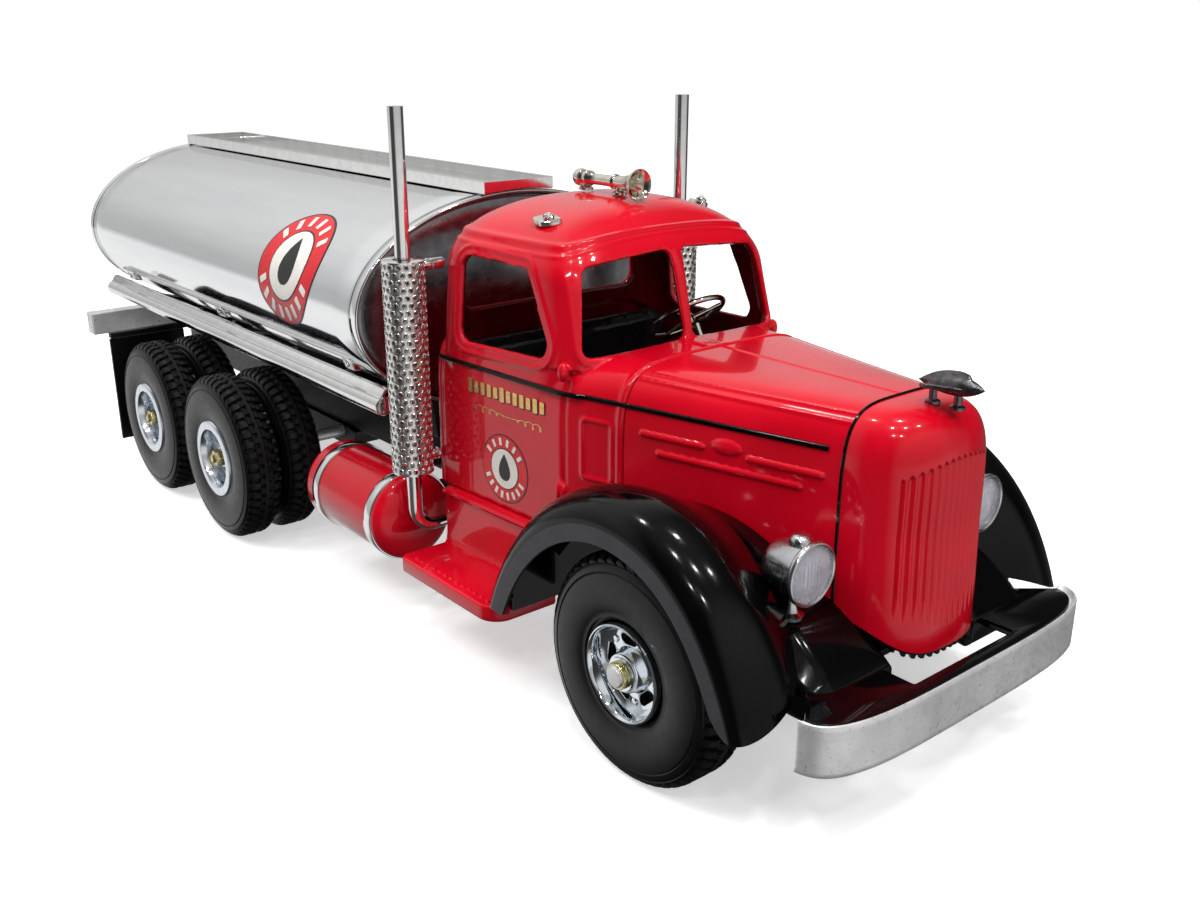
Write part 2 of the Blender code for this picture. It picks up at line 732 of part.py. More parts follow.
def tank_top(y):
    return TANK_Z + (TANK_HALF_Z + GAP) * math.sqrt(1 - (y / (TANK_HALF_Y + 1)) ** 2)


def make_tray():
    """Spill tray along the top of the tank: a floor that follows the tank, with raised walls."""
    half = TRAY_HALF_Y
    floor = TRAY_TOP - 4.0
    across = [half - half * k / 3 for k in range(7)]
    under = [(-y, tank_top(y) + 0.1) for y in across]
    outline = under + [(half, TRAY_TOP), (-half, TRAY_TOP)]
    tray = prism("catwalk_tray", outline, "X", TRAY_X[0], TRAY_X[1], polished_metal())
    recess = box("tray_recess", (TRAY_X[0] + 1.0, -half + 1.0, floor + 0.6),
                 (TRAY_X[1] - 1.0, half - 1.0, TRAY_TOP + 5.0), None)
    boolean(tray, recess)


def make_side_rails():
    for side, name in ((-1, "side_rail_right"), (1, "side_rail_left")):
        rail = cylinder(name, (TANK_X[0], side * SIDE_RAIL_Y, SIDE_RAIL_Z),
                        (TANK_X[1] + 4.0, side * SIDE_RAIL_Y, SIDE_RAIL_Z), SIDE_RAIL_R,
                        polished_metal(), 16)
        smooth(rail)


def make_saddles():
    """Cross bearers that carry the tank on the frame and reach out to the side rails."""
    names = ("tank_saddle_rear", "tank_saddle_middle", "tank_saddle_front")
    for name, x in zip(names, SADDLE_X):
        top = [(y, tank_bottom(y) - 0.2) for y in (30.0, 20.0, 10.0, 0.0, -10.0, -20.0, -30.0)]
        reach = SIDE_RAIL_Y - SIDE_RAIL_R - GAP
        outline = [(-30.0, RAIL_Z[1] + GAP), (30.0, RAIL_Z[1] + GAP), (32.0, 77.5),
                   (reach, 83.5), (reach, 91.5)]
        outline += top + [(-reach, 91.5), (-reach, 83.5), (-32.0, 77.5)]
        prism(name, outline, "X", x - 5.0, x + 5.0, chassis_black())


# ---------------------------------------------------------------- chassis and wheels

def make_chassis():
    """Ladder frame: two rails joined by cross bars, outriggers and rear risers."""
    y0, y1 = RAIL_Y
    z0, z1 = RAIL_Z
    frame = box("chassis_frame", (RAIL_X[0], y0, z0), (RAIL_X[1], y1, z1), chassis_black())
    pieces = [((RAIL_X[0], -y1, z0), (RAIL_X[1], -y0, z1))]
    for x, half in ((10.0, 46.9), (46.0, 46.9), (88.0, 55.6), (118.0, 53.4)):
        pieces.append(((x - 3, -half, 46.0), (x + 3, half, 52.0)))
    for x in (-268.0, -209.0, -121.0, -30.0, 228.0):
        pieces.append(((x - 4, -y1 + 1, 46.0), (x + 4, y1 - 1, 58.0)))
    for side in (-1, 1):
        ys = sorted((side * y0, side * y1))
        pieces.append(((-275.6, ys[0] + 1, 59.0), (-268.0, ys[1] - 1, 74.0)))
        pieces.append(((-211.5, ys[0] + 1, 59.0), (-206.5, ys[1] - 1, 77.0)))
        pieces.append(((230.0, ys[0] + 1, 44.5), (239.6, ys[1] - 1, 49.0)))
    pieces.append(((-211.0, -99.0, 75.0), (-207.0, 99.0, 78.0)))
    for low, high in pieces:
        boolean(frame, box("frame_member", low, high, None), "UNION")


def spring_outline(x0, x1, overhang):
    """Side view of a spring pack or walking beam between two stations."""
    return [(x0 - overhang, 42.2), (x0 - overhang, 39.2), (x0 - 7.0, 33.0), (x1 + 7.0, 33.0),
            (x1 + overhang, 39.2), (x1 + overhang, 42.2), (x1 + 7.0, 43.6), (x0 - 7.0, 43.6)]


def make_front_axle():
    """Fixed front axle: a shaft through a pair of spring packs."""
    x = FRONT_AXLE_X
    axle = prism("front_axle", spring_outline(x, x, 30.0), "Y", -29.5, 29.5, chassis_black())
    boolean(axle, box("spring_gap", (x - 40, -19.0, 20.0), (x + 40, 19.0, 60.0), None))
    reach = FRONT_TYRE_Y[1] - 3.4
    shaft = cylinder("front_shaft", (x, -reach, TYRE_R), (x, reach, TYRE_R), AXLE_R, None, 20)
    boolean(axle, shaft, "UNION")


def make_rear_axles():
    """Two dead axles held in one walking beam under the frame."""
    reach = REAR_OUTER_Y[1] - 12.0
    for name, x in zip(("rear_axle_forward", "rear_axle_aft"), REAR_AXLE_X):
        cylinder(name, (x, -reach, TYRE_R), (x, reach, TYRE_R), AXLE_R, cast_metal(), 20)
    outline = spring_outline(REAR_AXLE_X[1], REAR_AXLE_X[0], 14.0)
    beam = prism("rear_bogie", outline, "Y", -29.5, 29.5, chassis_black())
    for x in REAR_AXLE_X:
        boolean(beam, cylinder("axle_hole", (x, -40, TYRE_R), (x, 40, TYRE_R), AXLE_R + 0.35,
                               None, 20))


def tyre_profile(width):
    """Tyre section: bead, bulged sidewalls, rounded shoulders and a flat tread."""
    h = width / 2
    bead = RIM_R + GAP
    outer = [(bead, h - 1.8), (27.0, h), (35.5, h - 1.0), (TYRE_R, h - 4.6)]
    return outer + [(r, -z) for r, z in reversed(outer)]


def rim_profile(width, dish):
    """Wheel centre: rolled lip, dished web and a raised hub on the axle."""
    h = width / 2 - 1.6
    return [(BORE_R, h - dish + 4.6), (5.4, h - dish + 4.6), (5.8, h - dish + 1.0),
            (13.4, h - dish), (RIM_R - 0.6, h + 0.6), (RIM_R, -h), (RIM_R - 2.4, -h),
            (RIM_R - 2.8, h - dish - 2.4), (6.4, h - dish - 2.8), (6.0, -h), (BORE_R, -h)]


def make_wheels():
    for side, tag in ((-1, "right"), (1, "left")):
        outward = (0, side, 0)
        y0, y1 = FRONT_TYRE_Y
        centre = (FRONT_AXLE_X, side * (y0 + y1) / 2, TYRE_R)
        turned(f"front_tyre_{tag}", tyre_profile(y1 - y0), centre, outward, rubber(), 24)
        turned(f"front_rim_{tag}", rim_profile(y1 - y0, 3.5), centre, outward,
               polished_metal(), 16)
        for x, place in zip(REAR_AXLE_X, ("forward", "aft")):
            for layer, (a, b) in (("outer", REAR_OUTER_Y), ("inner", REAR_INNER_Y)):
                centre = (x, side * (a + b) / 2, TYRE_R)
                turned(f"{place}_{layer}_tyre_{tag}", tyre_profile(b - a), centre, outward,
                       rubber(), 24)
            a, b = REAR_INNER_Y[0], REAR_OUTER_Y[1]
            turned(f"{place}_rim_{tag}", rim_profile(b - a, 12.0),
                   (x, side * (a + b) / 2, TYRE_R), outward, polished_metal(), 16)


def make_rear():
    box("rear_bumper", (REAR_BAR_X[0], -87.0, 62.0), (REAR_BAR_X[1], 87.0, 75.0), cast_metal(),
        0.8)
    for side, name in ((-1, "mudflap_right"), (1, "mudflap_left")):
        ys = sorted((side * 57.5, side * 99.3))
        box(name, (-209.8, ys[0], 16.5), (-208.2, ys[1], 74.6), rubber())


def main():
    clear_scene()
    make_chassis()
    make_front_axle()
    make_rear_axles()
    make_wheels()
    make_cab_floor()
    make_cab_body()
    make_seat()
    make_steering()
    make_horn()
    make_marker_lights()
    make_hood()
    make_radiator()
    make_ornament()
    make_fenders()
    make_headlights()
    make_bumper()
    make_apron()
    make_running_boards()
    make_fuel_tanks()
    make_stacks()
    make_tank()
    make_tray()
    make_side_rails()
    make_saddles()
    make_rear()


main()
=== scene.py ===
"""Looks of the toy tanker truck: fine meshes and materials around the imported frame."""

import json
import math

import bmesh
import bpy
import numpy as np
from mathutils import Matrix, Vector
from mathutils.bvhtree import BVHTree


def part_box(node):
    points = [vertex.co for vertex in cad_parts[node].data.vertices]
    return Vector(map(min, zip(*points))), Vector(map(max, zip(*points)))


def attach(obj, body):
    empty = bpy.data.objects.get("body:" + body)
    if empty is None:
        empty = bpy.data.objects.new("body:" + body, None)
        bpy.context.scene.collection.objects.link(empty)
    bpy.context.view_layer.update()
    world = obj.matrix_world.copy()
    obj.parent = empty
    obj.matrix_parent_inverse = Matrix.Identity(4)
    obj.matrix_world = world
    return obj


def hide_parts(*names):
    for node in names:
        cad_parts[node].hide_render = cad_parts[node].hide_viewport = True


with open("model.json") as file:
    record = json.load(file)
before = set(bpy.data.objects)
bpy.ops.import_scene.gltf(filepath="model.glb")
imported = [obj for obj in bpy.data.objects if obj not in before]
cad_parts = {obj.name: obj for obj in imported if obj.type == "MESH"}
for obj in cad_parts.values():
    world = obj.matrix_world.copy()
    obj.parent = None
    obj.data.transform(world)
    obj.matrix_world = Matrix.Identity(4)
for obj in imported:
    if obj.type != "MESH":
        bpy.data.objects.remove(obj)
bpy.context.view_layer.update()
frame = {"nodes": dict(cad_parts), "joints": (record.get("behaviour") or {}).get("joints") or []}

MM = 0.001
SIDES = ((-1, "right"), (1, "left"))


def box_mm(node):
    """Lowest and highest corner of a CAD node in millimetres."""
    low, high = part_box(node)
    return low / MM, high / MM


# ---------------------------------------------------------------- driving sizes (mm)

CAB_LOW, CAB_HIGH = box_mm("cab_body")
TANK_LOW, TANK_HIGH = box_mm("tank_shell")
CAB_REAR_X = CAB_LOW.x
CAB_BOTTOM_Z = CAB_LOW.z
COWL_X = CAB_HIGH.x
ROOF_TOP_Z = CAB_HIGH.z
SEAM_X = box_mm("radiator_shell")[0].x
CAB_REAR_HALF = CAB_HIGH.y
DOOR_FRONT_X, DOOR_FRONT_HALF = 139.0, 55.0
COWL_HALF, SEAM_HALF = 48.0, 27.7
BELT_Z, SHOULDER_Z, CREST_Z = 114.3, 90.0, 127.8
EYEBROW_Z, ROOF_CENTRE_X = 150.0, 100.0
NOSE_DEPTH, NOSE_BOTTOM_Z, HOOD_BOTTOM_Z = 24.5, 50.0, 62.0
NOSE_BOXINESS, DOME_R = 2.6, 27.0
WALL = 2.7

JOINT_AT = {j["child"]: Vector(j["pos_m"]) / MM for j in frame["joints"]}
FRONT_AXLE_X = JOINT_AT["front_right_wheel"].x
TYRE_R = JOINT_AT["front_right_wheel"].z
FENDER_Y, FENDER_BAND, FENDER_CROWN, FENDER_SKIN = 85.2, 6.0, 9.4, 1.4
CROWN_DEPTH, FENDER_REAR = 15.2, math.radians(182.0)

TANK_CENTRE_Z = (TANK_LOW.z + TANK_HIGH.z) / 2
TANK_HALF_Y = TANK_HIGH.y
TANK_HALF_Z = (TANK_HIGH.z - TANK_LOW.z) / 2


# ---------------------------------------------------------------- camera

def make_camera():
    """A 36 mm sensor and a lens of about 36 mm, high off the truck's right front."""
    yaw, pitch, roll = math.radians(49.98), math.radians(19.16), math.radians(0.147)
    data = bpy.data.cameras.new("camera")
    data.sensor_width = 36.0
    data.lens = 35.95
    camera = bpy.data.objects.new("camera", data)
    bpy.context.scene.collection.objects.link(camera)
    camera.matrix_world = (
        Matrix.Translation((0.4620, -0.3073, 0.2354))
        @ Matrix.Rotation(yaw, 4, "Z")
        @ Matrix.Rotation(math.pi / 2 - pitch, 4, "X")
        @ Matrix.Rotation(roll, 4, "Z")
    )
    bpy.context.scene.camera = camera
    bpy.context.scene.view_settings.view_transform = "Standard"


make_camera()


# ---------------------------------------------------------------- materials

class Nodes:
    """A short way to write a material's node graph, in object coordinates."""

    def __init__(self, name):
        self.material = bpy.data.materials.new(name)
        self.material.use_nodes = True
        self.tree = self.material.node_tree
        self.shader = self.tree.nodes["Principled BSDF"]
        self.place = self.tree.nodes.new("ShaderNodeTexCoord").outputs["Object"]

    def add(self, kind, **settings):
        node = self.tree.nodes.new(kind)
        for key, value in settings.items():
            setattr(node, key, value)
        return node

    def link(self, source, target):
        self.tree.links.new(source, target)

    def set(self, **values):
        for key, value in values.items():
            self.shader.inputs[key.replace("_", " ")].default_value = value

    def noise(self, per_mm, detail=3.0, stretch=(1, 1, 1), rough=0.5):
        """Noise whose grain is 1 / per_mm millimetres, longer along stretched axes."""
        mapping = self.add("ShaderNodeMapping")
        mapping.inputs["Scale"].default_value = [per_mm / MM * s for s in stretch]
        self.link(self.place, mapping.inputs["Vector"])
        node = self.add("ShaderNodeTexNoise")
        node.inputs["Scale"].default_value = 1.0
        node.inputs["Detail"].default_value = detail
        node.inputs["Roughness"].default_value = rough
        self.link(mapping.outputs["Vector"], node.inputs["Vector"])
        return node.outputs["Fac"]

    def ramp(self, source, low, high, start, end):
        """start where source is at low, end where it is at high."""
        node = self.add("ShaderNodeMapRange", clamp=True)
        self.link(source, node.inputs["Value"])
        for key, value in (("From Min", low), ("From Max", high), ("To Min", start),
                           ("To Max", end)):
            node.inputs[key].default_value = value
        return node.outputs["Result"]

    def mix(self, share, first, second):
        """Colour mix of two colours, each a tuple or a socket."""
        node = self.add("ShaderNodeMix", data_type="RGBA")
        self.link(share, node.inputs["Factor"])
        for key, value in ((6, first), (7, second)):
            if isinstance(value, tuple):
                node.inputs[key].default_value = (*value, 1.0)
            else:
                self.link(value, node.inputs[key])
        return node.outputs[2]

    def colour(self, socket):
        self.link(socket, self.shader.inputs["Base Color"])

    def roughness(self, socket):
        self.link(socket, self.shader.inputs["Roughness"])

    def bump(self, height, distance_mm, strength):
        node = self.add("ShaderNodeBump")
        node.inputs["Strength"].default_value = strength
        node.inputs["Distance"].default_value = distance_mm * MM
        self.link(height, node.inputs["Height"])
        self.link(node.outputs["Normal"], self.shader.inputs["Normal"])


def enamel(name, colour, deep, roughness=0.22, coat=0.8, inside=None):
    """Thick gloss paint: slight pooling of colour, orange peel and a clear coat.

    A mesh attribute called inside turns it into the inside colour where it is 1; the cab uses this for
    a darker red that paints in the shade inside it.
    """
    n = Nodes(name)
    paint = n.mix(n.ramp(n.noise(0.03, 2.0), 0.35, 0.65, 0.0, 1.0), colour, deep)
    if inside:
        share = n.add("ShaderNodeAttribute", attribute_name="inside").outputs["Fac"]
        paint = n.mix(n.ramp(share, 0.35, 0.65, 0.0, 1.0), paint, inside)
    n.colour(paint)
    n.roughness(n.ramp(n.noise(0.3, 4.0), 0.3, 0.7, roughness * 0.85, roughness * 1.2))
    n.bump(n.noise(0.35, 1.5), 0.05, 0.12)
    n.set(Coat_Weight=coat, Coat_Roughness=0.025, Coat_IOR=1.42, IOR=1.5,
          Specular_IOR_Level=0.12)
    return n.material


def satin(name, colour, light, roughness, grain=0.9, bump=0.05):
    """Satin paint or rubber with a fine grain and a dusting of lighter tone."""
    n = Nodes(name)
    n.colour(n.mix(n.ramp(n.noise(grain * 0.12, 5.0), 0.4, 0.75, 0.0, 1.0), colour, light))
    n.roughness(n.ramp(n.noise(grain * 0.4, 4.0), 0.3, 0.7, roughness * 0.85, roughness * 1.15))
    n.bump(n.noise(grain, 3.0), bump, 0.5)
    n.set(IOR=1.48, Specular_IOR_Level=0.35)
    return n.material


def metal(name, colour, dark, roughness, per_mm=0.25, stretch=(1, 1, 1), bump=0.0, spread=0.3):
    """Bare or plated metal: cloudy polish, and grain drawn out along stretched axes."""
    n = Nodes(name)
    n.set(Metallic=1.0)
    cloud = n.noise(per_mm, 4.0, stretch, 0.6)
    n.colour(n.mix(n.ramp(cloud, 0.35, 0.7, 0.0, 1.0), colour, dark))
    n.roughness(n.ramp(n.noise(per_mm * 1.7, 5.0, stretch), 0.3, 0.7,
                       roughness * (1 - spread), roughness * (1 + spread)))
    if bump:
        n.bump(n.noise(per_mm * 3.0, 4.0, stretch), bump, 0.4)
    return n.material


def cast_metal():
    """Rough casting, lightly buffed: fine pits and darker specks."""
    n = Nodes("cast_metal")
    n.set(Metallic=0.55)
    speck = n.ramp(n.noise(0.75, 6.0, rough=0.75), 0.60, 0.69, 0.0, 1.0)
    base = n.mix(n.ramp(n.noise(0.09, 4.0), 0.35, 0.7, 0.0, 1.0), (0.88, 0.88, 0.88),
                 (0.72, 0.72, 0.73))
    n.colour(n.mix(speck, base, (0.22, 0.21, 0.20)))
    n.roughness(n.ramp(n.noise(0.5, 5.0), 0.3, 0.7, 0.26, 0.46))
    n.bump(n.noise(0.9, 5.0, rough=0.7), 0.14, 0.55)
    return n.material


def lens_glass():
    """Slightly frosted glass."""
    n = Nodes("lens_glass")
    n.colour(n.mix(n.ramp(n.noise(0.12, 3.0), 0.35, 0.65, 0.0, 1.0), (0.80, 0.79, 0.85),
                   (0.66, 0.65, 0.72)))
    n.roughness(n.ramp(n.noise(0.5, 3.0), 0.3, 0.7, 0.10, 0.30))
    n.bump(n.noise(0.3, 2.0, (1, 1, 0.15)), 0.2, 0.4)
    n.set(Transmission_Weight=0.6, IOR=1.45)
    return n.material


RED = enamel("red_enamel", (0.66, 0.0025, 0.017), (0.57, 0.0015, 0.012))
# The cab's inside colour is its red darkened to 0.13: red paint plus painted shade for the dim inside
# of the cab.
CAB_RED_WITH_INSIDE_SHADE = enamel("cab_enamel_inside_shade", (0.66, 0.0025, 0.017), (0.57, 0.0015, 0.012),
                 inside=(0.13, 0.0015, 0.004))
BLACK = enamel("black_enamel", (0.001, 0.001, 0.0012), (0.002, 0.002, 0.0023), 0.14, 0.3)
SEAT = enamel("seat_black", (0.006, 0.006, 0.007), (0.012, 0.012, 0.013), 0.3, 0.6)
BAND = satin("fender_band", (0.026, 0.026, 0.030), (0.036, 0.036, 0.041), 0.36, 1.2, 0.02)
CHASSIS = satin("chassis_black", (0.0035, 0.0035, 0.0035), (0.007, 0.007, 0.007), 0.4)
LAMP = metal("lamp_metal", (0.66, 0.67, 0.68), (0.58, 0.59, 0.60), 0.24, 0.2, bump=0.02)
# Darker copy of the tank metal for the front dish: painted shade, as if the front head stood in
# shadow.
SHADED_HEAD = metal("shaded_head_metal", (0.24, 0.24, 0.25), (0.19, 0.19, 0.20), 0.24, 0.12)
RUBBER = satin("rubber", (0.0032, 0.0031, 0.0038), (0.006, 0.0058, 0.0068), 0.33, 1.1, 0.02)
TREAD = satin("tread_rubber", (0.0030, 0.0030, 0.0036), (0.0065, 0.0065, 0.0072), 0.6, 0.8, 0.08)
TANK = metal("tank_metal", (0.93, 0.94, 0.94), (0.82, 0.83, 0.84), 0.085, 0.05, (0.12, 1, 1))
POLISHED = metal("polished_metal", (0.86, 0.86, 0.85), (0.78, 0.78, 0.77), 0.11, 0.2)
CHROME = metal("chrome", (0.83, 0.87, 0.90), (0.76, 0.80, 0.84), 0.05, 0.3)
DISH = metal("dish_metal", (0.80, 0.84, 0.89), (0.68, 0.72, 0.78), 0.2, 0.25)
NICKEL = metal("nickel", (0.80, 0.76, 0.68), (0.66, 0.61, 0.52), 0.09, 0.3)
PEWTER = metal("pewter", (0.20, 0.19, 0.19), (0.09, 0.09, 0.09), 0.34, 0.5, bump=0.12)
SHIELD = metal("shield_metal", (0.84, 0.83, 0.80), (0.74, 0.73, 0.69), 0.27, 0.3)
BRASS = metal("brass", (0.74, 0.66, 0.36), (0.55, 0.46, 0.20), 0.26, 0.6, bump=0.06)
CAST = cast_metal()
GLASS = lens_glass()
CREAM = satin("badge_cream", (0.86, 0.83, 0.77), (0.78, 0.74, 0.68), 0.3, 1.0, 0.01)
BADGE_RED = satin("badge_red", (0.70, 0.012, 0.02), (0.6, 0.008, 0.015), 0.25, 1.0, 0.01)
BADGE_BLACK = satin("badge_black", (0.01, 0.01, 0.01), (0.02, 0.02, 0.02), 0.25, 1.0, 0.01)
GOLD = metal("badge_gold", (0.78, 0.56, 0.22), (0.60, 0.40, 0.13), 0.28, 0.8)


# ---------------------------------------------------------------- mesh helpers

def new_object(name, vertices, faces, materials, indices=None):
    """An object from points in mm; materials is one material or a list with face indices."""
    mesh = bpy.data.meshes.new(name)
    points = np.asarray(vertices, float) * MM
    mesh.from_pydata(points.tolist(), [], faces)
    for material in materials if isinstance(materials, (list, tuple)) else [materials]:
        mesh.materials.append(material)
    if indices is not None:
        mesh.polygons.foreach_set("material_index", np.asarray(indices, np.int32))
    mesh.update()
    obj = bpy.data.objects.new(name, mesh)
    bpy.context.scene.collection.objects.link(obj)
    return obj


def shade(obj, angle=38.0):
    """Smooth shading that keeps edges sharper than angle."""
    mesh = obj.data
    mesh.polygons.foreach_set("use_smooth", [True] * len(mesh.polygons))
    bm = bmesh.new()
    bm.from_mesh(mesh)
    limit = math.radians(angle)
    for edge in bm.edges:
        if len(edge.link_faces) == 2 and edge.calc_face_angle() > limit:
            edge.smooth = False
    bm.to_mesh(mesh)
    bm.free()


def bake_modifiers(obj):
    """Replace the mesh with what its modifiers make."""
    bpy.context.view_layer.update()
    graph = bpy.context.evaluated_depsgraph_get()
    mesh = bpy.data.meshes.new_from_object(obj.evaluated_get(graph))
    obj.modifiers.clear()
    obj.data = mesh


def place(obj, body="truck", replaces=(), angle=38.0):
    """Finish a piece: shading, body and the CAD nodes it stands for."""
    if obj.modifiers:
        bake_modifiers(obj)
    shade(obj, angle)
    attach(obj, body)
    if replaces:
        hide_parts(*replaces)
    return obj


def clean(obj, merge=None):
    """Merge points closer than merge metres, if given, and turn the faces outward."""
    bm = bmesh.new()
    bm.from_mesh(obj.data)
    if merge:
        bmesh.ops.remove_doubles(bm, verts=bm.verts, dist=merge)
    bmesh.ops.recalc_face_normals(bm, faces=bm.faces)
    bm.to_mesh(obj.data)
    bm.free()
    return obj


def grid_faces(rows, columns, close_rows=False, close_columns=False):
    """Four-sided faces of a grid of points, closed round either way."""
    faces = []
    for i in range(rows if close_rows else rows - 1):
        for j in range(columns if close_columns else columns - 1):
            a, b = i * columns + j, ((i + 1) % rows) * columns + j
            c = ((i + 1) % rows) * columns + (j + 1) % columns
            d = i * columns + (j + 1) % columns
            faces.append([a, b, c, d])
    return faces


def capped_faces(rows, columns):
    """Faces of a stack of closed rings, with a flat cap at each end."""
    faces = grid_faces(rows, columns, close_columns=True)
    faces += [list(range(columns)), list(range((rows - 1) * columns, rows * columns))[::-1]]
    return faces


def grid_normals(points):
    """Unit normals of a grid of points, by finite differences."""
    normal = np.cross(np.gradient(points, axis=0), np.gradient(points, axis=1))
    length = np.linalg.norm(normal, axis=2, keepdims=True)
    return normal / np.maximum(length, 1e-9)


def thicken(obj, thickness, even=True):
    """Give a skin thickness inwards."""
    modifier = obj.modifiers.new("thickness", "SOLIDIFY")
    modifier.thickness = thickness * MM
    modifier.offset = -1.0
    modifier.use_even_offset = even
    return obj


def sheet_object(name, points, materials, thickness, indices=None):
    """A surface from a grid of points, given thickness inwards."""
    faces = grid_faces(*points.shape[:2])
    return thicken(new_object(name, points.reshape(-1, 3), faces, materials, indices), thickness)


def bevel(obj, width, segments=2, angle=35.0):
    """Round the edges that are sharper than angle."""
    modifier = obj.modifiers.new("bevel", "BEVEL")
    modifier.width = width * MM
    modifier.segments = segments
    modifier.limit_method = "ANGLE"
    modifier.angle_limit = math.radians(angle)
    return obj


def boolean(obj, tool, operation="DIFFERENCE"):
    """Apply one Boolean at once and remove its tool."""
    modifier = obj.modifiers.new("boolean", "BOOLEAN")
    modifier.object = tool
    modifier.operation = operation
    modifier.solver = "EXACT"
    bake_modifiers(obj)
    bpy.data.objects.remove(tool, do_unlink=True)
    return obj


def full_turn(count):
    """Evenly spaced angles round one turn."""
    return np.linspace(0, 2 * math.pi, count, endpoint=False)


def lathe_points(profile, segments):
    """Points of a profile of (radius, height) turned about +Z."""
    profile = np.asarray(profile, float)
    angles = full_turn(segments)
    radius, height = profile[:, 0][:, None], profile[:, 1][:, None]
    return np.stack([radius * np.cos(angles), radius * np.sin(angles),
                     height + 0 * angles], axis=2)


def frame_of(outward):
    """Rotation that takes +Z to outward."""
    return np.array(Vector(outward).to_track_quat("Z", "Y").to_matrix())


def lathe(name, profile, centre, outward, material, segments=64, closed=False):
    """A turned piece; an open profile that starts or ends on the axis closes itself."""
    points = lathe_points(profile, segments).reshape(-1, 3)
    rows = len(profile)
    faces = grid_faces(rows, segments, close_rows=closed, close_columns=True)
    points = points @ frame_of(outward).T + np.array(centre, float)
    return clean(new_object(name, points, faces, material), 1e-6)


def prism(name, outline, axis, low, high, material):
    """A closed outline pushed along an axis from low to high."""
    order = {"X": (2, 0, 1), "Y": (0, 2, 1), "Z": (0, 1, 2)}[axis]

    def at(point, depth):
        values = (*point, depth)
        return tuple(values[k] for k in order)

    count = len(outline)
    points = [at(p, low) for p in outline] + [at(p, high) for p in outline]
    faces = [[k, (k + 1) % count, (k + 1) % count + count, k + count] for k in range(count)]
    faces += [list(range(count))[::-1], list(range(count, 2 * count))]
    return clean(new_object(name, points, faces, material))


def rounded(corners, radius, steps=6):
    """A convex outline with every corner rounded."""
    points = []
    count = len(corners)
    for i in range(count):
        here = Vector(corners[i])
        back = (Vector(corners[i - 1]) - here).normalized()
        ahead = (Vector(corners[(i + 1) % count]) - here).normalized()
        half = math.acos(max(-1.0, min(1.0, back.dot(ahead)))) / 2
        reach = radius / math.tan(half)
        middle = here + (back + ahead).normalized() * radius / math.sin(half)
        first, last = here + back * reach - middle, here + ahead * reach - middle
        for k in range(steps + 1):
            points.append(tuple(middle + first.lerp(last, k / steps).normalized() * radius))
    return points


def tube(name, path, radius, material, sides=16, radii=None):
    """A round tube along a path, with flat ends."""
    path = np.asarray(path, float)
    tangent = np.gradient(path, axis=0)
    tangent /= np.linalg.norm(tangent, axis=1, keepdims=True)
    across = np.cross(tangent[0], (0.0, 0.0, 1.0))
    if np.linalg.norm(across) < 0.1:
        across = np.cross(tangent[0], (1.0, 0.0, 0.0))
    rings = []
    angles = full_turn(sides)
    for k, (point, ahead) in enumerate(zip(path, tangent)):
        across = across - ahead * (across @ ahead)
        across /= np.linalg.norm(across)
        up = np.cross(ahead, across)
        size = radius if radii is None else radii[k]
        rings.append(point + size * (np.cos(angles)[:, None] * across
                                     + np.sin(angles)[:, None] * up))
    return clean(new_object(name, np.concatenate(rings), capped_faces(len(rings), sides),
                            material))


def join(name, objects):
    """Join objects, keeping each one's materials."""
    for obj in objects:
        if obj.modifiers:
            bake_modifiers(obj)
    materials = []
    points, faces, indices, base = [], [], [], 0
    for obj in objects:
        local = []
        for material in obj.data.materials:
            if material not in materials:
                materials.append(material)
            local.append(materials.index(material))
        points += [tuple(obj.matrix_world @ v.co / MM) for v in obj.data.vertices]
        for polygon in obj.data.polygons:
            faces.append([base + v for v in polygon.vertices])
            indices.append(local[polygon.material_index] if local else 0)
        base += len(obj.data.vertices)
    for obj in objects:
        bpy.data.objects.remove(obj, do_unlink=True)
    return new_object(name, points, faces, materials, indices)


def resample(points, spacing):
    """A polyline with evenly spaced points."""
    points = np.asarray(points, float)
    run = np.concatenate([[0], np.cumsum(np.linalg.norm(np.diff(points, axis=0), axis=1))])
    count = max(4, int(run[-1] / spacing) + 1)
    even = np.linspace(0, run[-1], count)
    return np.stack([np.interp(even, run, points[:, k]) for k in range(points.shape[1])], axis=1)


def power(value, exponent):
    """A power that keeps the value's sign."""
    return np.copysign(np.abs(value) ** exponent, value)


def ridge(distance, width):
    """A soft raised line, 1 at its middle."""
    return np.exp(-(distance / width) ** 2)


# ---------------------------------------------------------------- body shape rules

def body_half_width(x):
    """Half-width of cab and hood at x: straight runs from rear to door, cowl and seam."""
    return np.interp(x, (CAB_REAR_X, DOOR_FRONT_X, COWL_X, SEAM_X),
                     (CAB_REAR_HALF, DOOR_FRONT_HALF, COWL_HALF, SEAM_HALF))


def body_section(x, half, bottom, inset=0.0, steps=160):
    """Half ring (y, z) from the lower edge up the side and over to the crest."""
    boxiness = 5.0 - 0.5 * min(1.0, max(0.0, (x - COWL_X) / (SEAM_X - COWL_X)))
    half = half - inset
    rise = CREST_Z - inset - SHOULDER_Z
    a = (np.linspace(0, 1, steps) ** 3.2) * math.pi / 2
    over = np.stack([half * np.abs(np.cos(a)) ** (2 / boxiness),
                     SHOULDER_Z + rise * np.sin(a) ** (2 / boxiness)], axis=1)
    over[-1, 0] = 0.0
    return np.concatenate([[(half, bottom)], over])


def full_ring(x, half_ring):
    """A half ring and its mirror image, from one lower edge over to the other."""
    y, z = half_ring[:, 0], half_ring[:, 1]
    left = np.stack([np.full(len(y), x), y, z], axis=1)
    right = left * (1, -1, 1)
    return np.concatenate([right, left[::-1][1:]])


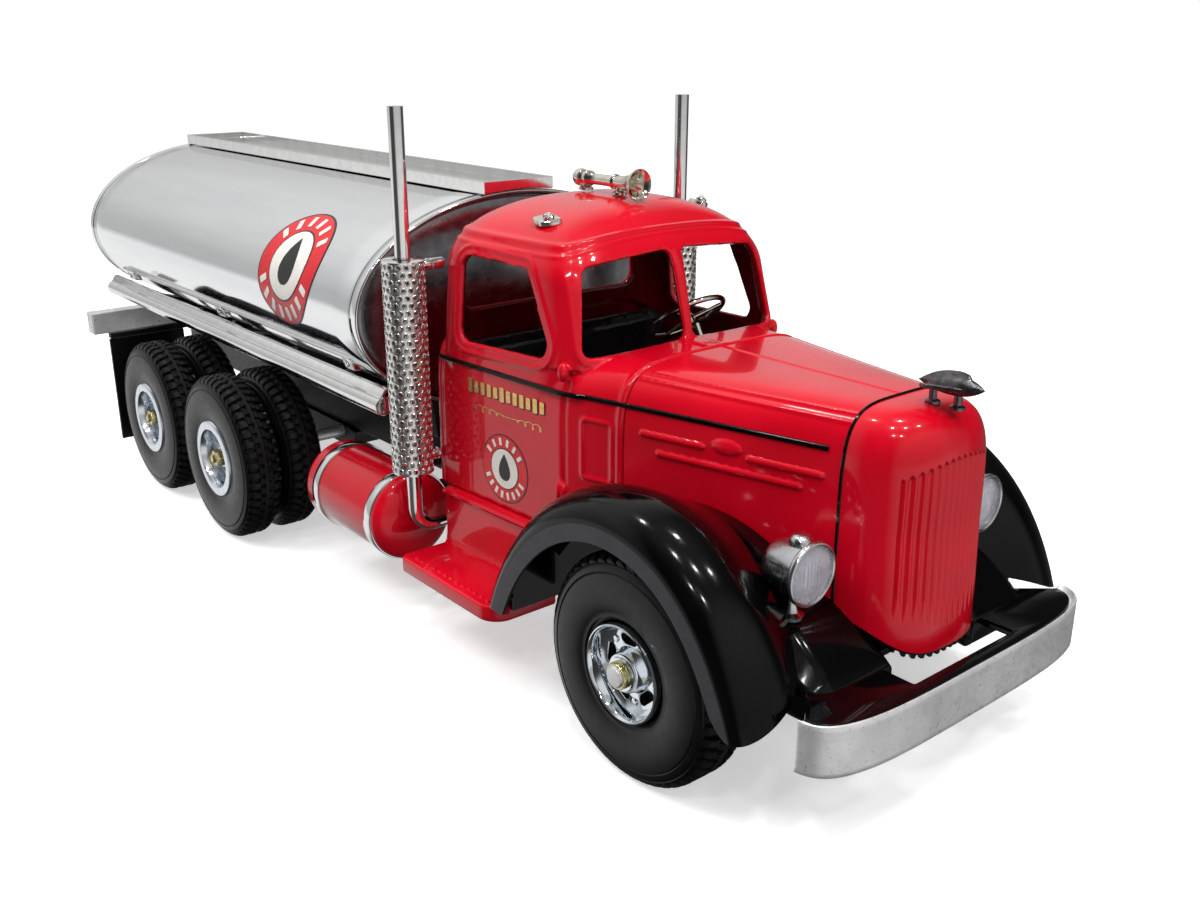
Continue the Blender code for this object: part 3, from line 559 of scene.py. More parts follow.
def cab_rear_half(x, half, inset=0.0):
    """Half-width with the cab's rear corners rounded."""
    corner, edge = 7.0 - inset, CAB_REAR_X + 7.0
    if x >= edge:
        return half
    return half - corner + math.sqrt(max(0.0, corner ** 2 - (edge - x) ** 2))


def loft(name, rings, material):
    """A closed solid through rings that have equally many points."""
    rings = np.asarray(rings, float)
    faces = capped_faces(*rings.shape[:2])
    return clean(new_object(name, rings.reshape(-1, 3), faces, material), 1e-7)


# ---------------------------------------------------------------- cab

def lower_cab(name, inset, bottom):
    """Solid of the cab below its windows, drawn in by inset."""
    rear, front, edge = CAB_REAR_X + inset, COWL_X - inset, CAB_REAR_X + 7.0
    stations = list(np.linspace(rear + 0.01, edge, 9)) + list(np.linspace(70, front, 26))
    rings = []
    for x in stations:
        half = cab_rear_half(x, body_half_width(x) - inset, inset) + inset
        rings.append(full_ring(x, body_section(x, half, bottom, inset, 40)))
    return loft(name, rings, RED)


def cab_ring(z, inset, count):
    """Plan outline of the upper cab at one height."""
    rise = min(1.0, max(0.0, (z - EYEBROW_Z) / (ROOF_TOP_Z - inset - EYEBROW_Z)))
    front_x = 143.0 if z < 122.0 else 148.6 + (128.5 - max(z, 128.5)) * 0.25
    front = (front_x - ROOF_CENTRE_X - inset) * (1 - rise ** 2.4) ** (1 / 2.4)
    rear = (ROOF_CENTRE_X - CAB_REAR_X - inset) * (1 - rise ** 3.0) ** (1 / 3.0)
    side = CAB_REAR_HALF - max(0.0, min(z, EYEBROW_Z) - BELT_Z) * 0.09
    boxy = 7.0 - 3.0 * rise
    narrow = (1 - rise ** 2.2) ** (1 / 2.2)
    a = 2 * math.pi * (np.arange(count) + 0.5) / count
    along, across = power(np.cos(a), 2 / boxy), power(np.sin(a), 2 / boxy)
    x = ROOF_CENTRE_X + np.where(along > 0, front, rear) * along
    half = side * body_half_width(np.minimum(x, DOOR_FRONT_X)) / CAB_REAR_HALF - inset
    return np.stack([x, half * narrow * across, np.full(count, z)], axis=1)


def upper_cab(name, inset, bottom, count=160):
    """Solid of the cab's upper part and domed roof, drawn in by inset."""
    rise = ROOF_TOP_Z - inset - EYEBROW_Z
    levels = [z for z in (bottom, BELT_Z, 121.9, 122.1, 128.5, 134, 140, 145, EYEBROW_Z)
              if z >= bottom]
    levels += [EYEBROW_Z + rise * math.sin(math.radians(a)) for a in range(4, 90, 4)]
    levels.append(ROOF_TOP_Z - inset - 0.01)
    return loft(name, [cab_ring(z, inset, count) for z in levels], RED)


DOOR_WINDOW = [(79.0, 122.6), (133.0, 124.4), (117.6, 155.2), (79.0, 155.8)]
PANE = [(1.7, 127.4), (47.4, 126.4), (46.2, 159.0), (2.6, 161.8)]
REAR_WINDOW = [(-46.0, 130.0), (46.0, 130.0), (44.0, 157.0), (-44.0, 157.0)]


def outline_distance(u, v, outline):
    """Distance from points to a closed outline, negative inside it."""
    outline = np.asarray(outline, float)
    best = np.full(u.shape, 1e9)
    inside = np.zeros(u.shape, bool)
    for (x0, y0), (x1, y1) in zip(outline, np.roll(outline, -1, axis=0)):
        dx, dy = x1 - x0, y1 - y0
        t = np.clip(((u - x0) * dx + (v - y0) * dy) / (dx * dx + dy * dy), 0, 1)
        best = np.minimum(best, np.hypot(u - x0 - t * dx, v - y0 - t * dy))
        crosses = (y0 > v) != (y1 > v)
        where = x0 + (v - y0) / np.where(dy == 0, 1e-9, dy) * dx
        inside ^= crosses & (u < where)
    return np.where(inside, -best, best)


def cab_relief(points, normals):
    """How far the cab's outer skin is raised or sunk at each point, in mm."""
    x, y, z = points.T
    side = np.clip((np.abs(normals[:, 1]) - 0.35) / 0.3, 0, 1) * (np.abs(y) > 42)
    front = np.clip((normals[:, 0] - 0.25) / 0.3, 0, 1) * (x > 120)
    height = np.zeros(len(x))
    window = outline_distance(x, z, rounded(DOOR_WINDOW, 5.0))
    height += side * 0.55 * ridge(window - 3.6, 0.9)
    low_door = side * (z < BELT_Z + 4) * (z > CAB_BOTTOM_Z)
    height -= low_door * 0.75 * ridge(x - 140.6, 0.8)
    height -= side * (z < 150) * 0.45 * ridge(x - 67.5, 0.8)
    panel = outline_distance(x, z, rounded([(148.6, 84.8), (161, 84.8), (161, 106.6),
                                            (148.6, 106.6)], 1.6))
    height += side * (panel < 4) * 0.75 * ridge(panel, 0.8)
    height += (x > 158) * (z > 84) * 0.6 * ridge(x - 163.6, 1.0)
    reach = np.clip(np.abs(y) / 50.0, 0, 1)
    over_pane = np.clip((x - 128.0) / 8.0, 0, 1)
    brow = 161.2 + 6.2 * (1 - reach ** 2) * over_pane
    shown = (z > 152) * (z < 173) * (normals[:, 2] < 0.93)
    height += shown * 0.8 * ridge(z - brow - 2.4, 1.1)
    height += shown * 0.35 * ridge(z - brow + 0.8, 0.7)
    pane = outline_distance(np.abs(y), z, rounded(PANE, 3.6))
    height += front * (z < 160) * 0.3 * ridge(pane - 3.0, 0.9)
    return height


def pane_cutter(sign):
    """Funnel-shaped cutter for one windshield pane, square to the bowed glass line."""
    rings = []
    for x in (124.0, 142.0, 163.5):
        out, up = (x - 142.0) * 0.6, (x - 142.0) * 0.4
        corners = [(sign * (y + out * (y > 20)), z + up * (z > 140)) for y, z in PANE]
        rings.append([(x, y, z) for y, z in rounded(corners, 3.6)])
    return loft("cut", rings, RED)


def smoothed(mesh, rounds):
    """Vertex positions in mm with fine ripples taken out and the larger shape kept."""
    points = np.zeros(len(mesh.vertices) * 3)
    mesh.vertices.foreach_get("co", points)
    points = points.reshape(-1, 3) / MM
    ends = np.zeros(len(mesh.edges) * 2, np.int32)
    mesh.edges.foreach_get("vertices", ends)
    first, second = ends.reshape(-1, 2).T
    count = len(points)
    degree = np.bincount(ends, minlength=count)[:, None]
    for _ in range(rounds):
        for share in (0.62, -0.64):
            total = np.stack([np.bincount(first, points[second, k], count)
                              + np.bincount(second, points[first, k], count) for k in range(3)],
                             axis=1)
            points = points + share * (total / degree - points)
    return points


def cab_solid():
    """The cab's outer solid, with the hinge lumps on the doors."""
    cab = lower_cab("cab_shell", 0.0, CAB_BOTTOM_Z)
    boolean(cab, upper_cab("upper", 0.0, SHOULDER_Z), "UNION")
    bumps = []
    for side, _ in SIDES:
        for x, y, z, tall in ((140.4, 54.4, 122.0, 3.6), (139.4, 54.9, 76.5, 4.4)):
            profile = [(2.2 * math.sin(math.radians(a)), tall * -math.cos(math.radians(a)))
                       for a in range(0, 181, 15)]
            bumps.append(lathe("hinge", profile, (x, side * y, z), (0, 0, 1), RED, 16))
    for bump in bumps:
        boolean(cab, bump, "UNION")
    return cab


def open_cab(cab):
    """Hollow the cab and cut its windows."""
    boolean(cab, lower_cab("hollow", WALL, 50.0))
    boolean(cab, upper_cab("hollow", WALL, SHOULDER_Z - 10.0, 100))
    boolean(cab, prism("cut", rounded(DOOR_WINDOW, 5.0), "Y", -90, 90, RED))
    for sign in (-1, 1):
        boolean(cab, pane_cutter(sign))
    boolean(cab, prism("cut", rounded(REAR_WINDOW, 6.0), "X", 50.0, 72.0, RED))


def make_cab():
    """Cast cab with soft, paint-filled edges; its inside is red paint darkened as painted shade."""
    cab = cab_solid()
    outer = BVHTree.FromPolygons([v.co.copy() for v in cab.data.vertices],
                                 [list(p.vertices) for p in cab.data.polygons])
    open_cab(cab)
    remesh = cab.modifiers.new("remesh", "REMESH")
    remesh.mode = "VOXEL"
    remesh.voxel_size = 0.6 * MM
    bake_modifiers(cab)
    mesh = cab.data
    points = smoothed(mesh, 22)
    mesh.vertices.foreach_set("co", (points * MM).ravel())
    mesh.update()
    normals = np.zeros(len(mesh.vertices) * 3)
    mesh.vertices.foreach_get("normal", normals)
    normals = normals.reshape(-1, 3)
    depth = np.array([outer.find_nearest(Vector(p * MM))[3] for p in points]) / MM
    on_skin = np.clip((0.9 - depth) / 0.4, 0, 1)
    points += normals * (cab_relief(points, normals) * on_skin)[:, None]
    mesh.vertices.foreach_set("co", (points * MM).ravel())
    # Points more than 1.3 mm under the outer skin take the darker inside red: painted shade inside the
    # cab.
    layer = mesh.attributes.new("inside", "FLOAT", "POINT")
    layer.data.foreach_set("value", np.clip((depth - 1.3) / 0.4, 0, 1).astype(np.float32))
    mesh.materials.clear()
    mesh.materials.append(CAB_RED_WITH_INSIDE_SHADE)
    mesh.update()
    place(cab, replaces=["cab_body"], angle=180)


def belt_outline(z, x_from, x_to, side, lift=0.0):
    """Points along the body side at one height."""
    xs = np.linspace(x_from, x_to, 90)
    points = []
    for x in xs:
        half = body_half_width(x)
        if x > COWL_X - 18.0:
            section = body_section(x, half, HOOD_BOTTOM_Z, 0.0, 300)
            half = np.interp(z, section[:, 1], section[:, 0])
        points.append((x, side * (half + lift), z))
    return points


def make_stripes():
    """Black stripes along the belt line."""
    for side, tag in SIDES:
        stripe = tube(f"belt_stripe_{tag}",
                      belt_outline(BELT_Z, CAB_REAR_X + 7.0, 239.6, side, 0.05), 0.95, BLACK, 12)
        place(stripe)


# ---------------------------------------------------------------- hood

def bar(x, z, x0, x1, at_z, half=1.25, height=1.1):
    """A raised bar with round ends."""
    reach = np.hypot(x - np.clip(x, x0, x1), z - at_z) / half
    return height * np.sqrt(np.clip(1 - reach ** 2, 0, 1))


def hood_relief(points):
    """How far the hood is raised at each point: bars and boss below, ridges on top."""
    x, y, z = points[..., 0], points[..., 1], points[..., 2]
    side = z < 118
    height = side * bar(x, z, 173.0, 196.0, 106.2)
    height += side * bar(x, z, 213.5, 238.0, 105.4)
    height += side * bar(x, z, 180.0, 231.0, 100.2)
    boss = np.sqrt(((x - 205.2) / 5.6) ** 2 + ((z - 107.6) / 2.7) ** 2)
    height += side * 1.2 * np.sqrt(np.clip(1 - boss ** 2, 0, 1))
    line = np.interp(x, (COWL_X, SEAM_X), (41.5, 23.4))
    for offset, strength in ((0.0, 0.55), (-2.6, 0.5)):
        height += (z > 118) * strength * ridge(np.abs(y) - line - offset, 0.55)
    height += (z > 118) * 0.5 * ridge(y, 0.7)
    return height


def make_hood():
    """Hood with ridges along its top and raised bars and an oval boss on each side."""
    rows = []
    columns = None
    for x in np.linspace(COWL_X + 0.9, SEAM_X - 0.4, 190):
        ring = full_ring(x, body_section(x, body_half_width(x), HOOD_BOTTOM_Z))
        if columns is None:
            columns = len(resample(ring, 0.42))
        run = resample(ring, 0.05)
        pick = np.linspace(0, len(run) - 1, columns)
        rows.append(np.stack([np.interp(pick, np.arange(len(run)), run[:, k])
                              for k in range(3)], axis=1))
    points = np.array(rows)
    normals = grid_normals(points)
    outward = np.sign((normals * (points - (200, 0, 70))).sum(axis=2, keepdims=True))
    points = points + normals * outward * hood_relief(points)[..., None]
    hood = sheet_object("hood_skin", points, RED, thickness=1.8)
    fix_outward(hood, (205, 0, 60))
    place(hood, replaces=["hood"])


def fix_outward(obj, centre):
    """Turn a skin's faces away from a point inside it."""
    mesh = obj.data
    inside = Vector(centre) * MM
    total = sum((p.center - inside).dot(p.normal) * p.area for p in mesh.polygons)
    if total < 0:
        mesh.flip_normals()


# ---------------------------------------------------------------- radiator shell

def nose_curve(lon, inset=0.0):
    """How far the bowed nose reaches sideways and forward at a longitude."""
    across = (SEAM_HALF - inset) * power(np.sin(lon), 2 / NOSE_BOXINESS)
    along = (NOSE_DEPTH - inset) * np.abs(np.cos(lon)) ** (2 / NOSE_BOXINESS)
    return across, along


def nose_foot(lon):
    """Height of the radiator shell's lower edge."""
    return NOSE_BOTTOM_Z + 10.0 * np.abs(np.sin(lon)) ** 3


def nose_rake(lon, z):
    """How far the nose leans forward towards its foot."""
    return 0.045 * (SHOULDER_Z - z) * np.cos(lon)


def nose_plan(s):
    """Longitude for evenly spaced places round the bowed front, s from -1 to 1."""
    lon = np.linspace(-math.pi / 2, math.pi / 2, 4001)
    across, along = nose_curve(lon)
    run = np.concatenate([[0], np.cumsum(np.hypot(np.diff(across), np.diff(along)))])
    middle = run[-1] / 2
    return np.interp(s * middle + middle, run, lon), s * middle


FLUTE_PITCH = 3.15
FLUTE_COUNT = 15


def flute_depth(run, z):
    """Depth of the upright flutes: rounded grooves that run out to points below."""
    edge = FLUTE_COUNT * FLUTE_PITCH / 2
    inside = np.abs(run) < edge
    phase = np.abs((run / FLUTE_PITCH + FLUTE_COUNT / 2) % 1.0 - 0.5) * 2
    top = 114.0 - 4.5 * (run / edge) ** 2
    foot = 57.0 + 4.0 * (run / edge) ** 2
    reach = np.clip((z - foot) / 10.0, 0, 1) * np.clip((top - z) / 1.6, 0, 1)
    groove = np.clip(1 - (1 - phase) / np.maximum(0.92 * reach, 1e-3), 0, 1)
    return inside * reach * 1.05 * np.sin(groove * math.pi / 2) ** 1.2


def make_radiator():
    """Bowed radiator shell with upright flutes, its base strip and the black seam line."""
    lons, runs = nose_plan(np.linspace(1, -1, 330))
    rise = CREST_Z - SHOULDER_Z
    lat = (np.linspace(0, 1, 600) ** 3.0) * math.pi / 2
    dome = resample(np.stack([DOME_R * np.abs(np.cos(lat)) ** (2 / 4.5),
                              SHOULDER_Z + rise * np.sin(lat) ** (2 / 4.5)], axis=1), 0.45)
    rows = []
    for share in np.linspace(0, 1, 90):
        bottom = nose_foot(lons)
        z = bottom + (SHOULDER_Z - bottom) * share
        rows.append(nose_row(lons, runs, 1.0, z, nose_rake(lons, z)))
    for radius, z in dome[1:]:
        shrink = max(radius / DOME_R, 0.0)
        rows.append(nose_row(lons, runs, shrink, np.full(len(lons), z), 0.0))
    shell = sheet_object("radiator_skin", np.array(rows), RED, thickness=1.8)
    fix_outward(shell, (245, 0, 85))
    place(shell, replaces=["radiator_shell"], angle=50)
    make_grille_base()
    seam = [(SEAM_X - 0.15, y, z) for _, y, z in
            resample(full_ring(SEAM_X, body_section(SEAM_X, SEAM_HALF, 60.6)), 1.2)]
    place(tube("seam_line", seam, 0.62, BLACK, 8))


def nose_row(lons, runs, shrink, z, rake):
    """One level of the radiator shell, with its flutes sunk in."""
    depth = flute_depth(runs, z) if shrink > 0.8 else 0.0
    across, along = nose_curve(lons)
    facing = np.clip(np.cos(lons), 0.3, 1)
    return np.stack([SEAM_X + along * shrink + rake - depth * facing,
                     across * shrink - depth * np.sin(lons) * 0.6, z], axis=1)


def make_grille_base():
    """Black toothed strip under the radiator shell's front edge."""
    count = 121
    lons, _ = nose_plan(np.linspace(0.86, -0.86, count))
    teeth = np.where(np.arange(count) % 6 < 3, 0.0, 1.3)
    bottom = nose_foot(lons)
    across, along = nose_curve(lons, 1.2)
    rows = []
    for share in (0.0, 0.5, 1.0):
        z = bottom - 2.6 + teeth * (1 - share) + 2.9 * share
        rows.append(np.stack([SEAM_X + along + nose_rake(lons, z), across, z], axis=1))
    strip = sheet_object("grille_base", np.array(rows), BLACK, thickness=1.4)
    place(strip)


def make_ornament():
    """Streamlined ornament: a finned teardrop on two short posts."""
    lo, hi = box_mm("hood_ornament")
    centre = ((lo.x + hi.x) / 2, 0.0, 134.6)
    length = (hi.x - lo.x) / 2 - 0.6
    rows = []
    for t in np.linspace(-1, 1, 40):
        size = max(0.02, (1 - abs(t) ** 2.4) * (1.0 + 0.25 * t))
        a = full_turn(28)
        fin = 1 + 0.55 * np.exp(-((a - math.pi / 2) / 0.28) ** 2) * (t < 0.55)
        rows.append(np.stack([np.full(28, centre[0] + length * t), 2.9 * size * np.cos(a),
                              centre[2] + 3.0 * size * np.sin(a) * fin + 0.6 * t], axis=1))
    body = loft("ornament_body", rows, PEWTER)
    wings = []
    for side, _ in SIDES:
        outline = [(0.0, 0.0), (8.5, 0.0), (-4.5, 5.4), (-7.0, 5.0)]
        wing = prism("wing", [(centre[0] + x, side * (1.6 + y)) for x, y in outline], "Z",
                     centre[2] - 0.9, centre[2] + 0.5, PEWTER)
        wings.append(bevel(wing, 0.35, 2))
    posts = [lathe("post", [(0.0, -7.0), (2.4, -7.0), (2.4, -6.1), (1.3, -5.6), (1.2, -1.0),
                            (0.0, -1.0)], (centre[0] + x, 0.0, centre[2]), (0, 0, 1), PEWTER, 20)
             for x in (-6.0, 3.0)]
    place(join("ornament", [body, *wings, *posts]),
          replaces=["hood_ornament"], angle=50)


# ---------------------------------------------------------------- fenders and front end

def fender_radius(theta):
    """Distance from the wheel centre to the top of the fender's outer band."""
    t = theta - math.pi / 2
    return 48.5 + 5.62 * t + 1.32 * t ** 2 - 0.16 * t ** 3 + 1.17 * t ** 4


def fender_rise(depth):
    """Height of the fender above its band, by depth in from its outer face."""
    dome = FENDER_CROWN * np.sqrt(np.clip(1 - ((CROWN_DEPTH - depth) / CROWN_DEPTH) ** 2, 0, 1))
    fall = FENDER_CROWN - 14.4 * (1 - np.exp(-((depth - CROWN_DEPTH) / 22.0) ** 2))
    return np.where(depth < CROWN_DEPTH, dome, fall)


def fender_point(share, depth):
    """Where the fender is, by its share of the way back and its depth inwards."""
    start = math.radians(24.0) * depth / 57.0
    theta = start + (FENDER_REAR - start) * share
    radius = fender_radius(theta) + fender_rise(depth)
    return FRONT_AXLE_X + radius * np.cos(theta), TYRE_R + radius * np.sin(theta)


def make_fenders():
    """Domed front fenders with a flat, duller band round the wheel opening."""
    shares = np.linspace(0, 1, 150)
    band = np.array([-FENDER_BAND, -4.6, -3.0, -1.4, 0.0])
    for side, tag in SIDES:
        rows, totals = [], []
        for share in shares:
            total = 40.0
            for _ in range(40):
                x, _ = fender_point(share, np.array(total))
                goal = FENDER_Y - body_half_width(min(max(float(x), CAB_REAR_X), SEAM_X)) - 0.8
                total = 0.7 * total + 0.3 * goal
            totals.append(min(total, FENDER_Y - SEAM_HALF - 1.0))
        for share, total in zip(shares, totals):
            theta = FENDER_REAR * share
            corner = math.sqrt(1.0 - (1.0 - min(1.0, (share + 0.002) / 0.06)) ** 2)
            radius = fender_radius(theta) + band * corner
            row = [(FRONT_AXLE_X + r * math.cos(theta), side * FENDER_Y,
                    TYRE_R + r * math.sin(theta)) for r in radius]
            depths = np.concatenate([CROWN_DEPTH * (1 - np.cos(np.linspace(0.12, math.pi / 2, 16))),
                                     np.linspace(CROWN_DEPTH, total, 34)[1:]])
            xs, zs = fender_point(share, depths)
            row += list(zip(xs, side * (FENDER_Y - depths), zs))
            rows.append(row)
        points = np.array(rows)
        indices = [1 if j < len(band) - 1 else 0 for _ in range(len(shares) - 1)
                   for j in range(points.shape[1] - 1)]
        fender = sheet_object(f"fender_{tag}", points, [BLACK, BAND],
                              thickness=FENDER_SKIN, indices=indices)
        fix_outward(fender, (FRONT_AXLE_X, side * 60, TYRE_R))
        place(fender, replaces=[f"front_fender_{tag}"], angle=42)


def bumper_plan(half, front, tip, count):
    """Plan curve of the bumper: nearly straight, bent back at its tips."""
    base = tip - 7.0
    a = np.radians(np.linspace(-84.0, 84.0, count))
    return np.stack([base + (front - base) * np.abs(np.cos(a)) ** 0.5,
                     half * power(np.sin(a), 0.5)], axis=1)


def make_bumper():
    """Cast front bumper that bends back at both ends."""
    lo, hi = box_mm("front_bumper")
    plan = resample(bumper_plan(hi.y, hi.x - 1.2, 269.0, 400), 0.9)
    heights = np.concatenate([[0.0, 0.25, 0.8], np.linspace(2.0, 15.5, 8), [16.7, 17.25, 17.5]])
    heights = heights / 17.5 * (hi.z - lo.z) + lo.z
    inset = np.concatenate([[0.8, 0.25, 0.0], np.zeros(8), [0.0, 0.25, 0.8]])
    rows = []
    for z, back in zip(heights, inset):
        rows.append([(x - back, y * (1 - back / 200), z) for x, y in plan])
    bumper = sheet_object("bumper", np.array(rows), CAST, thickness=2.6)
    fix_outward(bumper, (262, 0, 40))
    bevel(bumper, 0.45, 2, 50)
    place(bumper, replaces=["front_bumper"])


def make_apron():
    """Slotted black plate between the bumper and the radiator shell."""
    lo, hi = box_mm("bumper_apron")
    plan = [tuple(p) for p in resample(bumper_plan(68.3, 282.6, 270.0, 200), 2.0)]
    outline = plan + [(246.0, 40.0), (240.0, 18.0), (240.0, -18.0), (246.0, -40.0)]
    apron = prism("apron", outline, "Z", lo.z, hi.z, BLACK)
    slot = prism("slot", rounded([(258, -27), (277.5, -27), (277.5, 27), (258, 27)], 0.8, 3),
                 "Z", lo.z - 4, hi.z + 4, BLACK)
    boolean(apron, slot)
    bevel(apron, 0.5, 2)
    place(apron, replaces=["bumper_apron"])


def make_headlights():
    """Headlight cups with a nub on top, a post below and a lens."""
    for side, tag in SIDES:
        at = (250.0, side * 45.6, 80.6)
        cup = [(0.0, -16.4), (2.6, -16.2), (5.0, -15.5), (6.9, -14.2), (7.7, -12.4),
               (8.5, -8.6), (9.2, -4.8), (9.6, -2.0), (9.7, -1.2), (10.3, -1.0), (10.6, -0.4),
               (10.6, 0.5), (10.3, 1.0), (9.8, 1.1), (9.4, 0.8), (9.3, 0.0), (8.9, -2.2),
               (7.6, -6.0), (5.4, -9.6), (2.6, -12.2), (0.0, -13.0)]
        shell = lathe("cup", cup, at, (1, 0, 0), LAMP, 72)
        nub = lathe("nub", [(0, 2.3), (1.6, 2.2), (2.8, 1.7), (3.5, 0.8), (3.7, -0.4), (3.7, -1.6),
                            (0, -1.6)], (at[0] - 4.6, at[1], at[2] + 9.5), (0.12, 0, 1), LAMP, 32)
        post = lathe("post", [(0, -17.0), (4.0, -17.0), (4.2, -15.8), (2.4, -14.9), (1.8, -12.6),
                              (2.0, -8.8), (0, -8.8)], (at[0] - 7.0, at[1], at[2]), (0, 0, 1),
                     LAMP, 28)
        place(join(f"headlight_{tag}", [shell, nub, post]),
              replaces=[f"headlight_shell_{tag}"], angle=34)
        make_lens(f"lens_{tag}", at, f"headlight_lens_{tag}")


def make_lens(name, at, node):
    """A shallow pressed lens with upright ribs across its middle."""
    radii = np.linspace(0, 9.3, 26)
    a = full_turn(96)
    front = []
    for r in radii[1:]:
        y, z = r * np.cos(a), r * np.sin(a)
        rib = 0.16 * np.cos(y * 2 * math.pi / 1.5) * (np.abs(y) < 4.1) * (np.abs(z) < 7.0)
        front.append(np.stack([at[0] + 1.1 * (1 - (r / 9.3) ** 2) + rib * (r < 8.6), at[1] + y,
                               at[2] + z], axis=1))
    back = [np.stack([np.full(96, at[0] - 1.1), at[1] + r * np.cos(a), at[2] + r * np.sin(a)],
                     axis=1) for r in (9.3, 6.0, 0.4)]
    place(loft(name, front + back, GLASS), replaces=[node], angle=50)


def make_splash_panels():
    """Black inner walls of the wheel arches and the shelves that carry the lamps."""
    xs = np.linspace(236.5, 265.5, 44)
    tops = 66.6 - 17.8 * ((xs - 236.5) / 29.0) ** 1.7
    a = np.radians(np.linspace(180.0, 0.0, 46))
    for side, tag in SIDES:
        arch = [(FRONT_AXLE_X + 46.3 * math.cos(t), TYRE_R + 46.3 * math.sin(t)) for t in a]
        arch = [(arch[0][0], 30.0)] + arch + [(arch[-1][0], 30.0)]
        lo, hi = sorted((side * 44.0, side * 45.6))
        wall = prism("wall", arch, "Y", lo, hi, BLACK)
        back = prism("back", [(side * 22.0, 36.0), (side * 78.0, 36.0), (side * 78.0, 60.3),
                              (side * 22.0, 60.3)], "X", 138.0, 140.0, BLACK)
        rings = []
        for x, top in zip(xs, tops):
            low = 36.0 if x < 262 else 40.0
            outer = 59.0 - 5.0 * max(0.0, (x - 250.0) / 15.5) ** 2
            outline = rounded([(22.0, low), (22.0, top), (50.0, top - 1.0),
                               (outer, top - 0.36 * (top - low)), (outer, low)],
                              min(7.5, 0.3 * (top - low)), 12)
            rings.append([(x, side * y, z) for y, z in outline])
        shelf = loft("shelf", rings, BLACK)
        bevel(shelf, 0.8, 3, 50)
        place(join(f"lamp_stand_{tag}", [wall, back, shelf]), angle=45)


# ---------------------------------------------------------------- roof and cabin

def make_horn():
    """Air horn on two posts."""
    at = (100.0, 0.0, 181.2)
    profile = [(0.0, 8.4), (1.2, 9.4), (2.0, 11.5), (3.0, 14.5), (4.4, 17.3), (5.3, 18.5),
               (5.75, 19.0), (6.0, 18.9), (6.05, 18.4), (5.5, 17.4), (4.4, 15.9), (3.3, 13.4),
               (2.7, 10.2), (2.35, 6.0), (2.9, 5.4), (2.9, 4.2), (2.2, 3.6), (2.1, -3.0),
               (2.2, -9.4), (3.0, -10.2), (3.1, -12.2), (2.6, -13.0), (3.1, -14.0), (3.5, -15.6),
               (3.3, -17.2), (2.4, -18.6), (1.2, -19.3), (0.0, -19.4)]
    parts = [lathe("horn", profile, at, (1, 0, 0), NICKEL, 48)]
    for x in (87.0, 107.4):
        post = [(0, -4.5), (3.0, -4.5), (2.9, -3.7), (1.6, -3.0), (1.35, -1.0), (1.7, 0.4), (0, 0.4)]
        parts.append(lathe("post", post, (x, 0, at[2]), (0, 0, 1), NICKEL, 28))
    place(join("horn_trumpet", parts), replaces=["air_horn"], angle=45)


def make_markers():
    """Roof marker lights: a pointed oval base, a cup and a small bulb."""
    for side, tag in SIDES:
        at = np.array((111.5, side * 38.6, 170.9))
        cup_at, upward = at + (1.2, 0, 0), (0.1, side * 0.3, 1)
        rows = []
        for z, size in ((-0.9, 1.0), (0.1, 1.0), (0.6, 0.94), (0.85, 0.8), (0.95, 0.45)):
            a = full_turn(48)
            x = 6.2 * size * power(np.cos(a), 1.45)
            y = 3.9 * size * power(np.sin(a), 1.15)
            rows.append(np.stack([x, y, np.full(48, z)], axis=1))
        base = loft("base", np.array(rows) @ frame_of(upward).T + at, NICKEL)
        cup = lathe("cup", [(0, 0.5), (2.1, 0.5), (2.2, 1.6), (1.9, 1.9), (1.6, 1.6), (0, 1.5)],
                    cup_at, upward, NICKEL, 28)
        place(join(f"marker_{tag}", [base, cup]),
              replaces=[f"marker_light_{tag}"], angle=35)
        bulb = [(0.0, 3.0), (0.8, 2.8), (1.35, 2.2), (1.55, 1.4), (1.4, 1.0), (0.0, 1.0)]
        place(lathe(f"marker_bulb_{tag}", bulb, cup_at, upward, GLASS, 24))


def make_steering():
    """Steering wheel with three spokes."""
    centre, lean = Vector((121.0, 24.6, 127.2)), Vector((-0.62, 0.0, 0.785))
    ring = [(16.0 + 1.15 * math.cos(a), 1.15 * math.sin(a)) for a in full_turn(14)]
    parts = [lathe("ring", ring, centre, lean, NICKEL, 72, closed=True)]
    turn = frame_of(lean)
    for k in range(3):
        a = math.radians(120.0 * k + 30.0)
        tip = np.array(centre) + turn @ np.array((15.4 * math.cos(a), 15.4 * math.sin(a), 0.0))
        base = np.array(centre + lean * -1.4)
        parts.append(tube("spoke", [base + (tip - base) * t for t in (0, 0.5, 1)], 0.75, NICKEL,
                          10, (1.1, 0.8, 0.7)))
    hub = [(0, 1.4), (1.6, 1.2), (2.6, 0.4), (2.8, -1.0), (2.2, -3.0), (0, -3.0)]
    parts.append(lathe("hub", hub, centre, lean, NICKEL, 32))
    place(join("steering_rim", parts), replaces=["steering_wheel"], angle=50)


